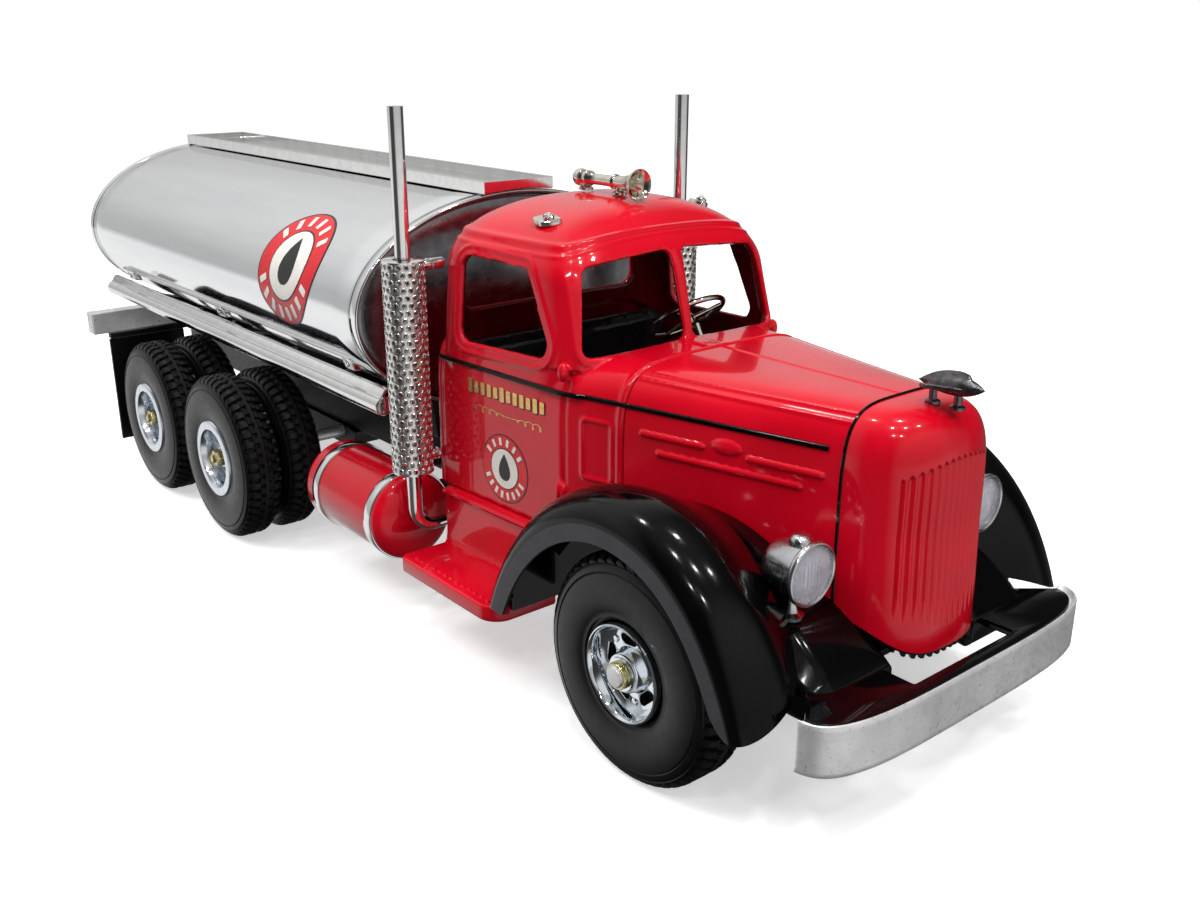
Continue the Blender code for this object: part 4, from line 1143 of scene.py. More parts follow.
def make_seat():
    """Glossy moulded bench: soft cushion and a back with upright channels."""
    lo, hi = box_mm("bench_seat")
    side = [(70.0, 63.0), (108.0, 63.0), (108.0, 82.0), (112.0, 84.0), (112.0, 89.0),
            (109.0, 91.5), (84.0, 89.5), (78.5, 117.0), (75.0, 120.0), (71.0, 119.0),
            (68.5, 116.0), (70.0, 90.0)]
    loop = resample(np.array(side + [side[0]]), 1.2)[:-1]
    ys = np.linspace(lo.y, hi.y, 220)
    rings = []
    for y in ys:
        edge = min(1.0, (hi.y - abs(y)) / 3.0)
        pull = 1 - 0.035 * (1 - math.sqrt(max(0.0, 1 - (1 - edge) ** 2)))
        groove = 0.3 * ridge(((y + 50) % 12.5) - 6.25, 1.3)
        centre = np.array((86.0, 88.0))
        ring = centre + (loop - centre) * pull
        upper = np.clip((loop[:, 1] - 84) / 5, 0, 1) * np.clip((loop[:, 0] - 70) / 4, 0, 1)
        away = (ring - centre) / np.linalg.norm(ring - centre, axis=1, keepdims=True)
        ring = ring - away * (upper * groove)[:, None]
        rings.append(np.stack([ring[:, 0], np.full(len(ring), y), ring[:, 1]], axis=1))
    place(loft("bench", rings, SEAT), replaces=["bench_seat"], angle=60)


# ---------------------------------------------------------------- boards, tanks and exhaust

def make_running_boards():
    """Running boards with raised studs and the step skirts above them."""
    for side, tag in SIDES:
        lo, hi = box_mm(f"running_board_{tag}")
        out = max(abs(lo.y), abs(hi.y))
        top, under = 36.4, 33.1
        plan = [(lo.x, 55.0), (136.2, 55.0)]
        plan += [(136.2 - 9.0 + 9.0 * math.cos(a), out - 9.0 + 9.0 * math.sin(a))
                 for a in np.linspace(0, math.pi / 2, 9)]
        plan += [(lo.x + 2.5, out), (lo.x, out - 2.5)]
        tread = prism("tread", [(x, side * y) for x, y in plan], "Z", under - 3.2, top, RED)
        bevel(tread, 1.1, 3)
        rows = []
        for x in np.linspace(lo.x, 126.0, 40):
            half = body_half_width(x)
            slope = [(half + 4.4, top - 1.0), (half + 3.0, top + 0.7), (half + 2.6, top + 3.0)]
            slope += [(half + 2.4, z) for z in np.linspace(42, CAB_BOTTOM_Z - 3.6, 6)]
            slope += [(half + 3.6, CAB_BOTTOM_Z - 3.0), (half + 4.1, CAB_BOTTOM_Z - 1.9),
                      (half + 3.4, CAB_BOTTOM_Z - 0.8), (half + 1.4, CAB_BOTTOM_Z - 0.35),
                      (half - 2.0, CAB_BOTTOM_Z - 0.35)]
            rows.append([(x, side * y, z) for y, z in slope])
        skirt = sheet_object("skirt", np.array(rows), RED, thickness=1.6)
        fix_outward(skirt, (98, side * 40, 45))
        studs = []
        for k in range(14):
            for y, size in ((out - 3.8, 0.75), (59.8, 0.85)):
                dome = [(size * 1.3 * math.sin(a), size * math.cos(a))
                        for a in np.linspace(0, math.pi / 2, 4)]
                dome.append((0.0, -0.4))
                studs.append(lathe("stud", dome, (lo.x + 8 + 4.1 * k, side * y, top),
                                   (0, 0, 1), RED, 10))
        place(join(f"step_{tag}", [tread, skirt, *studs]),
              replaces=[f"running_board_{tag}"], angle=42)


def make_fuel_tanks():
    """Round fuel tanks with bright straps."""
    for side, tag in SIDES:
        lo, hi = box_mm(f"fuel_tank_{tag}")
        radius, length = (hi.z - lo.z) / 2, hi.x - lo.x
        centre = (lo.x, side * 66.0, (hi.z + lo.z) / 2)
        dome = [(radius * math.sin(a), length - 9.0 + 9.0 * math.cos(a))
                for a in np.linspace(0, math.pi / 2, 16)]
        rear = [(radius - 3.5 + 3.5 * math.sin(a), 3.5 - 3.5 * math.cos(a))
                for a in np.linspace(math.pi / 2, 0, 8)]
        tank = lathe(f"fuel_{tag}", [*dome, *rear, (0.0, 0.0)], centre, (1, 0, 0), RED, 96)
        place(tank, replaces=[f"fuel_tank_{tag}"])
        for place_x, word in ((1.6, "rear"), (46.8, "front")):
            ring = [(radius - 0.3, -2.9), (radius + 0.35, -2.9), (radius + 0.6, -2.5),
                    (radius + 0.6, 2.5), (radius + 0.35, 2.9), (radius - 0.3, 2.9)]
            strap = lathe(f"fuel_strap_{word}_{tag}", ring, (place_x, centre[1], centre[2]),
                          (1, 0, 0), POLISHED, 96, closed=True)
            place(strap)


def perforated_tube(name, centre, radius, low, high, material):
    """A tube with staggered, raised-edged round holes right through its wall."""
    around, rows_up = 16, int(round((high - low) / 2.95))
    cell_z = (high - low) / rows_up
    cell_a = 2 * math.pi / around
    rings = ((1.34, 0.0), (1.12, 0.22), (0.88, 0.16), (0.80, -0.1))
    points, faces = [], []
    for row in range(rows_up):
        for k in range(around):
            a0 = (k + 0.5 * (row % 2)) * cell_a
            z0 = low + (row + 0.5) * cell_z
            base = len(points)
            square = [(-1, -1), (0, -1), (1, -1), (1, 0), (1, 1), (0, 1), (-1, 1), (-1, 0)]
            for u, v in square:
                points.append((a0 + u * cell_a / 2, z0 + v * cell_z / 2, 0.0))
            for wide, lift in rings:
                for u, v in square:
                    long = math.hypot(u, v)
                    points.append((a0 + u / long * wide / radius, z0 + v / long * wide, lift))
            for step in range(len(rings)):
                for j in range(8):
                    here, after = base + 8 * step + j, base + 8 * step + (j + 1) % 8
                    faces.append([here, after, after + 8, here + 8])
    xyz = [(centre[0] + (radius + lift) * math.cos(a), centre[1] + (radius + lift) * math.sin(a),
            z) for a, z, lift in points]
    obj = clean(new_object(name, xyz, faces, material), 1e-5)
    fix_outward(obj, (centre[0], centre[1], (low + high) / 2))
    return thicken(obj, 0.7, even=False)


def make_stacks():
    """Exhaust stacks inside perforated shields held by studs."""
    for side, tag in SIDES:
        lo, hi = box_mm(f"stack_shield_{tag}")
        x, y, radius = 65.2, side * 72.5, 8.15
        parts = [perforated_tube("shield", (x, y), radius, lo.z + 0.6, hi.z - 0.6, SHIELD)]
        for z, rim in ((hi.z, 1), (lo.z, -1)):
            profile = [(4.0, -1.0), (radius - 0.4, -1.0), (radius + 0.15, -0.8),
                       (radius + 0.15, -0.2), (radius - 0.3, 0.0), (4.0, 0.0)]
            if rim < 0:
                profile = [(radius - 1.1, -1.0), *profile[1:5], (radius - 1.1, 0.0)]
            parts.append(lathe("cap", profile, (x, y, z), (0, 0, rim), POLISHED, 48, closed=True))
        for z, end in ((150.7, 54.6), (73.4, 60.2)):
            profile = [(0, 0), (2.2, 0), (2.35, 0.4), (2.35, 3.4), (1.9, 3.8), (1.9, 4.4),
                       (2.3, 4.8), (2.3, 64.35 - end), (0, 64.35 - end)]
            parts.append(lathe("stud", profile, (x, side * 64.9, z), (0, -side, 0), POLISHED, 28))
        place(join(f"shield_{tag}", parts),
              replaces=[f"stack_shield_{tag}"], angle=40)
        path = [(x, y, z) for z in np.linspace(210.05, 53.0, 30)]
        path += [(x, y - side * 9.0 * (1 - math.cos(a)), 52.0 - 9.0 * math.sin(a))
                 for a in np.linspace(0, math.pi / 2, 14)]
        path += [(x, side * 58.5, 43.0)]
        radii = [3.0] * 30 + list(np.linspace(3.0, 2.4, 14)) + [2.2]
        place(tube(f"pipe_{tag}", path, 3.0, POLISHED, 32, radii),
              replaces=[f"exhaust_pipe_{tag}"], angle=50)


# ---------------------------------------------------------------- tank

def tank_point(x, arc, side=1, lift=0.0):
    """A point on the tank by x and by angle above its widest line."""
    normal = Vector((0, math.cos(arc) / TANK_HALF_Y, math.sin(arc) / TANK_HALF_Z)).normalized()
    return (x, side * (TANK_HALF_Y * math.cos(arc) + lift * normal.y),
            TANK_CENTRE_Z + TANK_HALF_Z * math.sin(arc) + lift * normal.z)


TANK_STEPS = 200
TANK_ARC = np.linspace(-0.6, 1.5, 400)
TANK_RUN = np.concatenate([[0], np.cumsum(np.hypot(
    TANK_HALF_Y * np.diff(np.cos(TANK_ARC)), TANK_HALF_Z * np.diff(np.sin(TANK_ARC))))])
TANK_RUN -= np.interp(0.0, TANK_ARC, TANK_RUN)


def tank_ring(x, inset):
    """The tank's oval at x, drawn in by inset."""
    a = full_turn(TANK_STEPS)
    return np.stack([np.full(TANK_STEPS, x), (TANK_HALF_Y - inset) * np.cos(a),
                     TANK_CENTRE_Z + (TANK_HALF_Z - inset) * np.sin(a)], axis=1)


def make_tank():
    """Polished tank, its dished ends, side rails, ledges and brackets."""
    x0, x1 = TANK_LOW.x, TANK_HIGH.x
    profile = [(x0 + 6, 1.5), (x0 + 0.8, 1.5), (x0 + 0.1, 1.0), (x0, 0.6), (x0 + 0.2, 0.1),
               (x0 + 0.8, -0.1), (x0 + 5.0, -0.1), (x0 + 5.5, 0.35), (x0 + 6.2, 0.0)]
    profile += [(x, 0.0) for x in np.linspace(x0 + 20, x1 - 20, 12)]
    profile += [(x1 - 6.2, 0.0), (x1 - 5.5, 0.35), (x1 - 5.0, -0.1), (x1 - 0.8, -0.1),
                (x1 - 0.2, 0.1), (x1, 0.6), (x1 - 0.1, 1.0), (x1 - 0.8, 1.5), (x1 - 6, 1.5)]
    rings = [tank_ring(x, inset) for x, inset in profile]
    faces = grid_faces(len(rings), TANK_STEPS, close_rows=True, close_columns=True)
    shell = new_object("tank_skin", np.array(rings).reshape(-1, 3), faces, TANK)
    fix_outward(shell, ((x0 + x1) / 2, 0, TANK_CENTRE_Z))
    place(shell, replaces=["tank_shell"], angle=50)
    for name, face, sign in (("tank_front_head", x1 - 3.5, 1), ("tank_rear_head", x0 + 3.5, -1)):
        rings = [tank_ring(face - sign * 8.0, 1.9), tank_ring(face - sign * 0.6, 1.9),
                 tank_ring(face - sign * 0.1, 2.3)]
        for share in np.linspace(0.04, 1.0, 16):
            keep = 1 - share
            rings.append(np.array([(face + sign * 3.0 * (1 - keep ** 2) ** 0.6,
                                    p[1] * max(keep, 0.002),
                                    TANK_CENTRE_Z + (p[2] - TANK_CENTRE_Z) * max(keep, 0.002))
                                   for p in tank_ring(face, 2.3)]))
        # The front dish takes the darker copy of the tank metal: painted shade on the front head.
        dish = loft(name.replace("_head", "_dish"), rings, SHADED_HEAD if sign > 0 else TANK)
        place(dish, replaces=[name], angle=50)
    for side, tag in SIDES:
        lo, hi = box_mm(f"side_rail_{tag}")
        length = hi.x - lo.x
        profile = [(0, 0), (2.6, 0), (3.6, 0.4), (4.0, 1.2)]
        profile += [(4.0, x) for x in np.linspace(2, length - 2, 24)]
        profile += [(4.0, length - 1.2), (3.6, length - 0.4), (2.6, length), (0, length)]
        rail = lathe(f"rail_{tag}", profile, (lo.x, side * 72.0, 90.0), (1, 0, 0), POLISHED, 40)
        place(rail, replaces=[f"side_rail_{tag}"])
        section = [(-73.6, 92.9), (-72.6, 92.2), (-70.6, 95.3), (-69.8, 96.0), (-68.6, 96.0),
                   (-68.4, 97.0), (-70.0, 97.3), (-71.4, 96.4)]
        outline = [(-side * y, z) for y, z in section]
        ledge = prism(f"rail_ledge_{tag}", outline, "X", lo.x + 0.5, hi.x - 1.5, POLISHED)
        place(bevel(ledge, 0.3, 2))
        brackets = []
        for x in (12.0, -121.0, -246.0):
            outline = [(side * y, z) for y, z in ((64.0, 98.0), (69.6, 98.6), (71.6, 103.6),
                                                  (70.6, 105.2), (68.4, 103.4), (64.0, 101.0))]
            plate = bevel(prism("plate", outline, "X", x - 4.0, x + 4.0, POLISHED), 0.5, 2)
            brackets.append(plate)
            brackets.append(lathe("bolt", [(0, 1.2), (0.9, 1.0), (1.2, 0.4), (1.2, -1), (0, -1)],
                                  (x, side * 70.6, 101.2), (0, side, -0.3), CHROME, 12))
        place(join(f"rail_brackets_{tag}", brackets))


# ---------------------------------------------------------------- wheels

def tyre_profile(width):
    """Half section from bead to tread edge: rolled bead, bulge, ring lines, shoulder."""
    h = width / 2
    return [(17.3, h - 3.2), (17.9, h - 1.9), (19.3, h - 0.95), (20.3, h - 1.0), (21.0, h - 0.75),
            (23.5, h - 0.25), (26.5, h), (29.5, h - 0.08), (32.2, h - 0.4), (33.4, h - 0.62),
            (33.8, h - 1.0), (34.2, h - 0.72), (35.4, h - 1.05), (36.3, h - 1.4),
            (36.6, h - 1.8), (36.95, h - 1.6), (37.8, h - 2.2), (38.7, h - 3.1),
            (39.4, h - 4.0)]


LUGS, LUG_DEPTH = 50, 2.1


def make_tyre(name, width, at, side, node, body):
    """A tyre with a smooth wall, two ring lines and blocky staggered lugs."""
    wall = tyre_profile(width)
    reach = wall[-1][1]
    tread = [(TYRE_R - 0.15, reach - 0.9), (TYRE_R, reach - 2.0), (TYRE_R, reach * 0.62),
             (TYRE_R, reach * 0.5), (TYRE_R, reach * 0.40), (TYRE_R, reach * 0.34),
             (TYRE_R, reach * 0.18), (TYRE_R, reach * 0.12)]
    half = wall + tread
    section = half + [(r, -z) for r, z in reversed(half)]
    cuts = (0.0, 0.07, 0.41, 0.48)
    angles = np.array([(k + c) * 2 * math.pi / LUGS for k in range(LUGS) for c in cuts])
    sunk = np.array([0, 1, 1, 0] * LUGS)
    rows = []
    for radius, z in section:
        r = np.full(len(angles), radius)
        across = abs(z)
        shift = 0.0
        if radius > 37.5:
            centre_rib = across < reach * 0.15
            ring_groove = reach * 0.33 < across < reach * 0.52
            shift = (0.5 if z > 0 else 0.0) * 2 * math.pi / LUGS
            shift += (0.3 if across < reach * 0.6 else 0.0) * 2 * math.pi / LUGS
            depth = 0.0 if centre_rib else LUG_DEPTH
            depth *= min(1.0, (radius - 37.0) / 1.6)
            r = r - sunk * depth - (0.9 if ring_groove else 0.0) * (1 - sunk)
        a = angles + shift
        rows.append(np.stack([r * np.cos(a), r * np.sin(a), np.full(len(a), z)], axis=1))
    points = np.array(rows)
    count = len(section)
    indices = [1 if min(section[i][0], section[(i + 1) % count][0]) > 38.0 else 0
               for i in range(count) for _ in range(len(angles))]
    faces = grid_faces(count, len(angles), close_rows=True, close_columns=True)
    flat = points.reshape(-1, 3) @ frame_of((0, side, 0)).T + np.array(at, float)
    tyre = clean(new_object(name, flat, faces, [RUBBER, TREAD], indices))
    place(tyre, body, [node], angle=32)


def spoked_disc(z_top, thickness, outer, material, openings, inner_r, outer_r, span, turn):
    """A disc with rounded openings between its spokes, about +Z."""
    disc = lathe("disc", [(4.2, z_top), (outer, z_top), (outer, z_top - thickness),
                          (4.2, z_top - thickness)], (0, 0, 0), (0, 0, 1), material, 96, True)
    for k in range(openings):
        middle = 2 * math.pi * k / openings + turn
        corners = []
        for radius, half in ((inner_r, span * 0.26), (outer_r, span * 0.5),
                             (outer_r, -span * 0.5), (inner_r, -span * 0.26)):
            corners.append((radius * math.cos(middle + half), radius * math.sin(middle + half)))
        cutter = prism("cut", rounded(corners, 1.5, 4), "Z", z_top - thickness - 2, z_top + 2,
                       material)
        boolean(disc, cutter)
    return bevel(disc, 0.4, 2, 50)


def turned(name, profile, material, segments, closed=False):
    """A turned piece about +Z at the origin."""
    return lathe(name, profile, (0, 0, 0), (0, 0, 1), material, segments, closed)


def finish_rim(parts, well, h, at, side, node, body, name):
    """Add the dark well, given by its radius and top, and carry the rim onto its wheel."""
    radius, top = well
    section = [(0, top), (radius, top), (radius, -h + 3.0), (0, -h + 3.0)]
    rim = join(name, [*parts, turned("well", section, CHASSIS, 48)])
    turn = Matrix(frame_of((0, side, 0))).to_4x4()
    rim.data.transform(Matrix.Translation(Vector(at) * MM) @ turn)
    place(rim, body, [node], angle=36)


def make_front_rim(at, side, node, body, name, width):
    """Plated five-spoke rim with rivets, a raised collar and a brass-ringed hub."""
    h = width / 2
    lip = [(14.6, h - 7.2), (15.0, h - 4.0), (15.5, h - 1.4), (15.9, h - 0.1), (16.4, h + 0.35),
           (16.9, h + 0.1), (17.15, h - 0.7), (17.1, h - 3.0), (17.1, -h + 2.0), (15.2, -h + 2.0),
           (15.0, h - 9.6), (14.0, h - 9.6)]
    parts = [turned("lip", lip, CHROME, 96, closed=True)]
    parts.append(spoked_disc(h - 5.2, 2.2, 15.0, CHROME, 5, 8.6, 14.0, 1.06, 0.45))
    for k in range(5):
        a = 2 * math.pi * (k + 0.5) / 5 + 0.45
        parts.append(lathe("rivet", [(0, 0.7), (1.0, 0.6), (1.5, 0.0), (1.5, -0.6), (0, -0.6)],
                           (11.4 * math.cos(a), 11.4 * math.sin(a), h - 5.2), (0, 0, 1), CHROME, 18))
    raised = [(4.6, h - 6.0), (8.2, h - 6.0), (8.0, h - 4.8), (7.2, h - 3.8), (6.9, h - 1.8),
              (6.5, h - 0.9), (5.9, h - 0.8), (5.7, h + 0.1), (4.6, h + 0.1)]
    parts.append(turned("collar", raised, CHROME, 64, closed=True))
    ring = [(3.3, h - 1.0), (4.7, h - 1.0), (4.7, h + 1.4), (4.4, h + 2.0), (3.3, h + 2.0)]
    parts.append(turned("brass_ring", ring, BRASS, 48, closed=True))
    face = [(0, h + 3.0), (2.0, h + 3.0), (3.3, h + 2.9), (3.7, h + 2.4), (3.7, h - 1), (0, h - 1)]
    parts.append(turned("face", face, CAST, 40))
    finish_rim(parts, (14.2, h - 8.6), h, at, side, node, body, name)


def make_rear_rim(at, side, node, body, name, width):
    """Deep plated rim for a pair of tyres, with a brass nut on its hub cone."""
    h = width / 2
    lip = [(13.0, h - 9.6), (13.3, h - 5.0), (13.9, h - 0.9), (14.6, h + 0.2), (15.6, h + 0.55),
           (17.2, h + 0.5), (18.4, h + 0.1), (18.9, h - 0.6), (18.6, h - 1.1), (17.3, h - 1.3),
           (17.2, h - 5.0), (17.2, -h + 2.0), (15.0, -h + 2.0), (15.0, h - 11.6), (13.0, h - 11.6)]
    parts = [turned("lip", lip, DISH, 96, closed=True)]
    parts.append(spoked_disc(h - 8.2, 2.0, 14.4, DISH, 5, 7.8, 12.2, 0.92, 0.2))
    cone = [(3.6, h - 8.4), (7.2, h - 8.4), (7.0, h - 7.0), (5.6, h - 5.6), (5.0, h - 4.4),
            (3.6, h - 4.4)]
    parts.append(turned("cone", cone, DISH, 64, closed=True))
    nut = [(4.3 * math.cos(a), 4.3 * math.sin(a)) for a in np.linspace(0, 2 * math.pi, 7)[:-1]]
    parts.append(bevel(prism("nut", nut, "Z", h - 5.0, h - 0.6, BRASS), 0.45, 2))
    stub = [(0, h + 0.7), (1.7, h + 0.7), (2.1, h + 0.3), (2.1, h - 3), (0, h - 3)]
    parts.append(turned("stub", stub, BRASS, 28))
    finish_rim(parts, (12.4, h - 11.4), h, at, side, node, body, name)


def make_wheels():
    """Six wheels: single ones in front, pairs at the back."""
    for side, tag in SIDES:
        low, high = box_mm(f"front_tyre_{tag}")
        at = ((low + high) / 2)[:]
        width = high.y - low.y
        body = f"front_{tag}_wheel"
        make_tyre(f"tyre_front_{tag}", width, at, side, f"front_tyre_{tag}", body)
        make_front_rim(at, side, f"front_rim_{tag}", body, f"rim_front_{tag}", width)
        for spot in ("forward", "aft"):
            body = f"{spot}_{tag}_wheels"
            edges = []
            for layer in ("outer", "inner"):
                node = f"{spot}_{layer}_tyre_{tag}"
                low, high = box_mm(node)
                edges += [low.y, high.y]
                make_tyre(f"tyre_{spot}_{layer}_{tag}", high.y - low.y,
                          ((low + high) / 2)[:], side, node, body)
            middle = ((low + high) / 2)
            middle.y = (min(edges) + max(edges)) / 2
            make_rear_rim(middle[:], side, f"{spot}_rim_{tag}", body, f"rim_{spot}_{tag}",
                          max(edges) - min(edges) - 1.0)


# ---------------------------------------------------------------- badges

def drop_outline(size):
    """Outline of an oil drop, point up."""
    points = []
    for k in range(40):
        a = 2 * math.pi * k / 40
        pinch = (1 + math.sin(a)) / 2
        points.append((size * 0.62 * math.cos(a) * (1 - pinch) ** 0.55 * 1.25,
                       size * (math.sin(a) * 0.95 + 0.12)))
    return points


def circle_outline(radius, count=96):
    return [(radius * math.cos(2 * math.pi * k / count), radius * math.sin(2 * math.pi * k / count))
            for k in range(count)]


def decal(name, layers, surface, first=0):
    """Thin paint layers, each an outline filled from its centre, laid on a surface."""
    parts = []
    for level, (outline, material) in enumerate(layers, first):
        outline = np.asarray(outline, float)
        centre = outline.mean(axis=0)
        rings = 3 if len(outline) < 20 else 14
        points = [surface(*centre, 0.10 + 0.06 * level)]
        for r in range(1, rings + 1):
            for p in centre + (outline - centre) * (r / rings):
                points.append(surface(*p, 0.10 + 0.06 * level))
        count = len(outline)
        faces = [[0, 1 + k, 1 + (k + 1) % count] for k in range(count)]
        for r in range(rings - 1):
            a, b = 1 + r * count, 1 + (r + 1) * count
            faces += [[a + k, b + k, b + (k + 1) % count, a + (k + 1) % count]
                      for k in range(count)]
        parts.append(new_object("layer", points, faces, material))
    return join(name, parts)


def badge_layers(radius):
    """Black rim, red ring with short cream bars, and a drop on a cream disc."""
    layers = [(circle_outline(radius), BADGE_BLACK), (circle_outline(radius * 0.965), BADGE_RED),
              (circle_outline(radius * 0.60), BADGE_BLACK), (circle_outline(radius * 0.57), CREAM)]
    bars = []
    for first, last, count in ((35, 145, 6), (205, 335, 8)):
        for degrees in np.linspace(first, last, count):
            a = math.radians(degrees)
            along, across = np.array((math.cos(a), math.sin(a))), np.array((-math.sin(a), math.cos(a)))
            box = [(0.68, -0.055), (0.90, -0.055), (0.90, 0.055), (0.68, 0.055)]
            corners = [tuple(radius * (u * along + v * across)) for u, v in box]
            bars.append((rounded(corners, radius * 0.02, 2), CREAM))
    drops = [(drop_outline(radius * 0.42), BADGE_BLACK)]
    return layers, bars + drops


def gold_bars(door):
    """A row of upright gold bars, each over a black shadow."""
    parts = []
    for k in range(12):
        u = -20.0 + 3.85 * k
        tall = 2.9 - 0.7 * abs(math.sin(k * 1.9))
        box = [(u - 1.2, 29.4 - tall), (u + 1.2, 29.4 - tall), (u + 1.2, 29.4 + tall),
               (u - 1.2, 29.4 + tall)]
        shadow = [(x + 0.4, z - 0.4) for x, z in box]
        parts.append(decal("line", [(rounded(shadow, 0.4, 2), BADGE_BLACK)], door))
        parts.append(decal("line", [(rounded(box, 0.4, 2), GOLD)], door, 1))
    return parts


def gold_curl(door):
    """A thin looping gold line."""
    t = np.linspace(0, 1, 220)
    curve = np.stack([-19.0 + 42.0 * t + 1.3 * np.sin(t * 62.0),
                      21.3 + 1.3 * np.cos(t * 62.0) * (0.5 + 0.5 * np.sin(t * 9.0))], axis=1)
    tangent = np.gradient(curve, axis=0)
    normal = np.stack([-tangent[:, 1], tangent[:, 0]], axis=1)
    normal /= np.linalg.norm(normal, axis=1, keepdims=True)
    width = 0.12 + 0.1 * np.abs(np.sin(t * 31.0))[:, None]
    points = [door(*p, 0.14) for sign in (1, -1) for p in curve + sign * normal * width]
    return new_object("curl", points, grid_faces(2, len(t)), GOLD)


def make_badges():
    """Painted roundels and gold marks on the tank and doors."""
    for side, tag in SIDES:
        def door(u, v, lift, side=side):
            x = 107.0 + u
            return (x, side * (float(body_half_width(x)) + lift), 77.0 + v)

        def flank(u, v, lift, side=side):
            arc = float(np.interp(0.97 * v + 15.6, TANK_RUN, TANK_ARC))
            return tank_point(-24.4 + 0.89 * u, arc, side, lift)

        for name, radius, surface in ((f"door_badge_{tag}", 13.8, door),
                                      (f"tank_badge_{tag}", 29.6, flank)):
            rings, marks = badge_layers(radius)
            badge = join(name, [decal("rings", rings, surface)]
                         + [decal("mark", [mark], surface, len(rings)) for mark in marks])
            turn_out(badge, side)
            place(badge, angle=180)
        scroll = join(f"door_scroll_{tag}", [*gold_bars(door), gold_curl(door)])
        turn_out(scroll, side)
        place(scroll, angle=180)


def turn_out(obj, side):
    """Face every polygon to the truck's own side."""
    bm = bmesh.new()
    bm.from_mesh(obj.data)
    for face in bm.faces:
        face.normal_update()
        if face.normal.y * side < 0:
            face.normal_flip()
    bm.to_mesh(obj.data)
    bm.free()


# ---------------------------------------------------------------- carried-over CAD nodes

def refine(node, material, width):
    """Give a CAD node its finish and soft edges."""
    obj = frame["nodes"][node]
    obj.data.materials.clear()
    obj.data.materials.append(material)
    weld = obj.modifiers.new("weld", "WELD")
    weld.merge_threshold = 0.00002
    bevel(obj, width, 2, 30)


def finish_cad():
    """Finish the CAD nodes that are shown as they are."""
    for node, material, width in (
            ("chassis_frame", CHASSIS, 0.5), ("front_axle", CHASSIS, 0.3),
            ("rear_bogie", CHASSIS, 0.5), ("cab_floor", CHASSIS, 0.3),
            ("tank_saddle_front", CHASSIS, 0.5), ("tank_saddle_middle", CHASSIS, 0.5),
            ("tank_saddle_rear", CHASSIS, 0.5), ("rear_axle_forward", CAST, 0.15),
            ("rear_axle_aft", CAST, 0.15), ("catwalk_tray", POLISHED, 0.3),
            ("rear_bumper", CAST, 0.3), ("mudflap_left", RUBBER, 0.3),
            ("mudflap_right", RUBBER, 0.3), ("steering_column", NICKEL, 0.15)):
        refine(node, material, width)


# ---------------------------------------------------------------- stage and light

def area_light(name, place_at, target, size, energy, mirrored=True):
    """A square light; mirrored ones show in reflections."""
    data = bpy.data.lights.new(name, "AREA")
    data.shape = "SQUARE"
    data.size = size
    data.energy = energy
    obj = bpy.data.objects.new(name, data)
    bpy.context.scene.collection.objects.link(obj)
    obj.visible_glossy = mirrored
    obj.location = place_at
    obj.rotation_euler = (Vector(target) - Vector(place_at)).to_track_quat("-Z", "Y").to_euler()


AIM = (0, 0, 0.08)


def make_stage():
    """White floor that curves up into a round wall, far outside the truck."""
    profile = [(0.02, 0.0), (0.5, 0.0), (1.2, 0.0), (2.0, 0.0), (2.6, 0.05), (3.0, 0.22),
               (3.2, 0.55), (3.25, 1.1), (3.27, 2.2)]
    points = lathe_points([(r / MM, z / MM) for r, z in profile], 96)
    floor = new_object("floor", points.reshape(-1, 3),
                       grid_faces(len(profile), 96, close_columns=True), stage_white())
    floor.data.polygons.foreach_set("use_smooth", [True] * len(floor.data.polygons))
    cap = new_object("floor_middle", points[0], [list(range(96))], floor.data.materials[0])
    for obj in (floor, cap):
        obj.visible_glossy = False
        obj.visible_diffuse = False
    make_world()
    area_light("key", (-0.5, -1.6, 2.4), AIM, 1.0, 30, mirrored=False)
    area_light("fill", (1.9, 0.3, 1.9), AIM, 0.8, 14, mirrored=False)
    area_light("low", (0.7, -2.2, 0.9), AIM, 1.0, 5, mirrored=False)
    for k, (x, y) in enumerate(((0.35, -0.5), (0.75, -0.1), (0.9, 0.5), (0.1, 0.3), (-0.5, -0.2),
                                (1.3, -0.9), (0.9, -1.2))):
        area_light(f"panel_{k}", (x, y, 1.7), (x * 0.6, y * 0.6, 0), 0.11, 3.6)


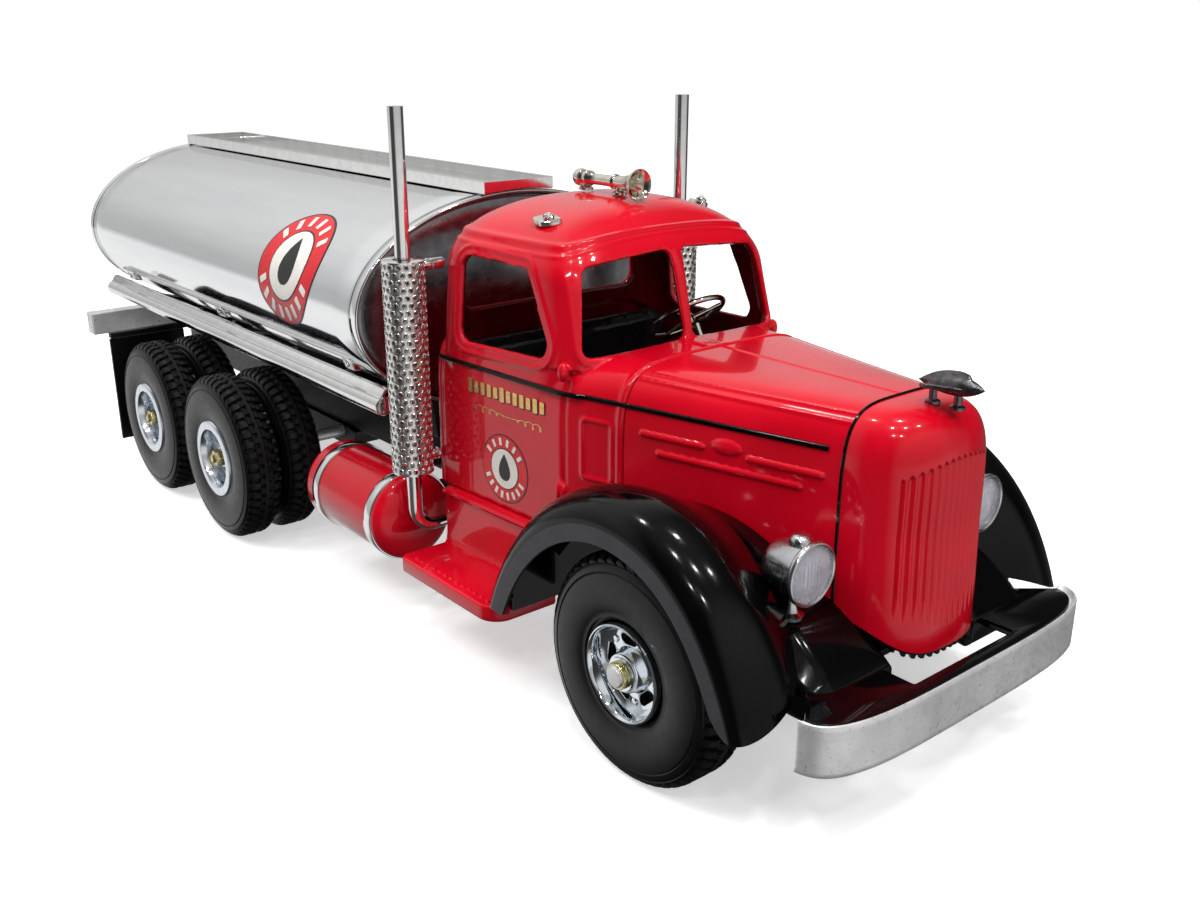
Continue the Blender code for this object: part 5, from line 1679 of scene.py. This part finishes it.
def make_world():
    """Studio surroundings: bright overhead, a dark band at eye level, a paler table behind."""
    world = bpy.data.worlds.new("studio")
    bpy.context.scene.world = world
    world.use_nodes = True
    tree = world.node_tree
    back = tree.nodes["Background"]
    coordinate = tree.nodes.new("ShaderNodeTexCoord")
    split = tree.nodes.new("ShaderNodeSeparateXYZ")
    tree.links.new(coordinate.outputs["Generated"], split.inputs[0])
    ranges = []
    for axis, low, high in (("Z", -1.0, 1.0), ("X", -1.0, 1.0)):
        node = tree.nodes.new("ShaderNodeMapRange")
        node.inputs["From Min"].default_value = low
        node.inputs["From Max"].default_value = high
        tree.links.new(split.outputs[axis], node.inputs["Value"])
        ranges.append(node.outputs["Result"])
    ramps = []
    for source, stops in (
            (0, ((0.0, 0.03), (0.20, 0.07), (0.36, 0.09), (0.48, 0.05), (0.62, 0.03),
                 (0.78, 0.05), (0.90, 0.14), (1.0, 0.45))),
            (0, ((0.0, 0.03), (0.14, 0.12), (0.24, 0.90), (0.44, 0.88), (0.48, 0.50),
                 (0.56, 0.50), (0.65, 0.60), (0.78, 0.82), (1.0, 0.88))),
            (1, ((0.0, 1.0), (0.20, 1.0), (0.34, 0.0), (0.74, 0.0), (0.86, 0.8), (1.0, 0.9)))):
        ramp = tree.nodes.new("ShaderNodeValToRGB")
        elements = ramp.color_ramp.elements
        elements.remove(elements[1])
        for index, (position, level) in enumerate(stops):
            stop = elements[0] if index == 0 else elements.new(position)
            stop.color = (level, level, level, 1)
        tree.links.new(ranges[source], ramp.inputs[0])
        ramps.append(ramp.outputs[0])
    mix = tree.nodes.new("ShaderNodeMix")
    mix.data_type = "RGBA"
    for source, target in zip(ramps, (6, 7, "Factor")):
        tree.links.new(source, mix.inputs[target])
    tree.links.new(mix.outputs[2], back.inputs["Color"])
    back.inputs["Strength"].default_value = 1.0


def stage_white():
    """Faintly glowing white of the floor and wall."""
    n = Nodes("stage_white")
    n.colour(n.mix(n.ramp(n.noise(0.002, 3.0), 0.3, 0.7, 0.0, 1.0), (0.92, 0.92, 0.92),
                   (0.90, 0.90, 0.905)))
    n.roughness(n.ramp(n.noise(0.02, 3.0), 0.3, 0.7, 0.5, 0.6))
    n.set(Emission_Color=(1, 1, 1, 1), Emission_Strength=0.52)
    return n.material


make_cab()
make_stripes()
make_hood()
make_radiator()
make_ornament()
make_fenders()
make_bumper()
make_apron()
make_headlights()
make_splash_panels()
make_horn()
make_markers()
make_steering()
make_seat()
make_running_boards()
make_fuel_tanks()
make_stacks()
make_tank()
make_wheels()
make_badges()
finish_cad()
make_stage()
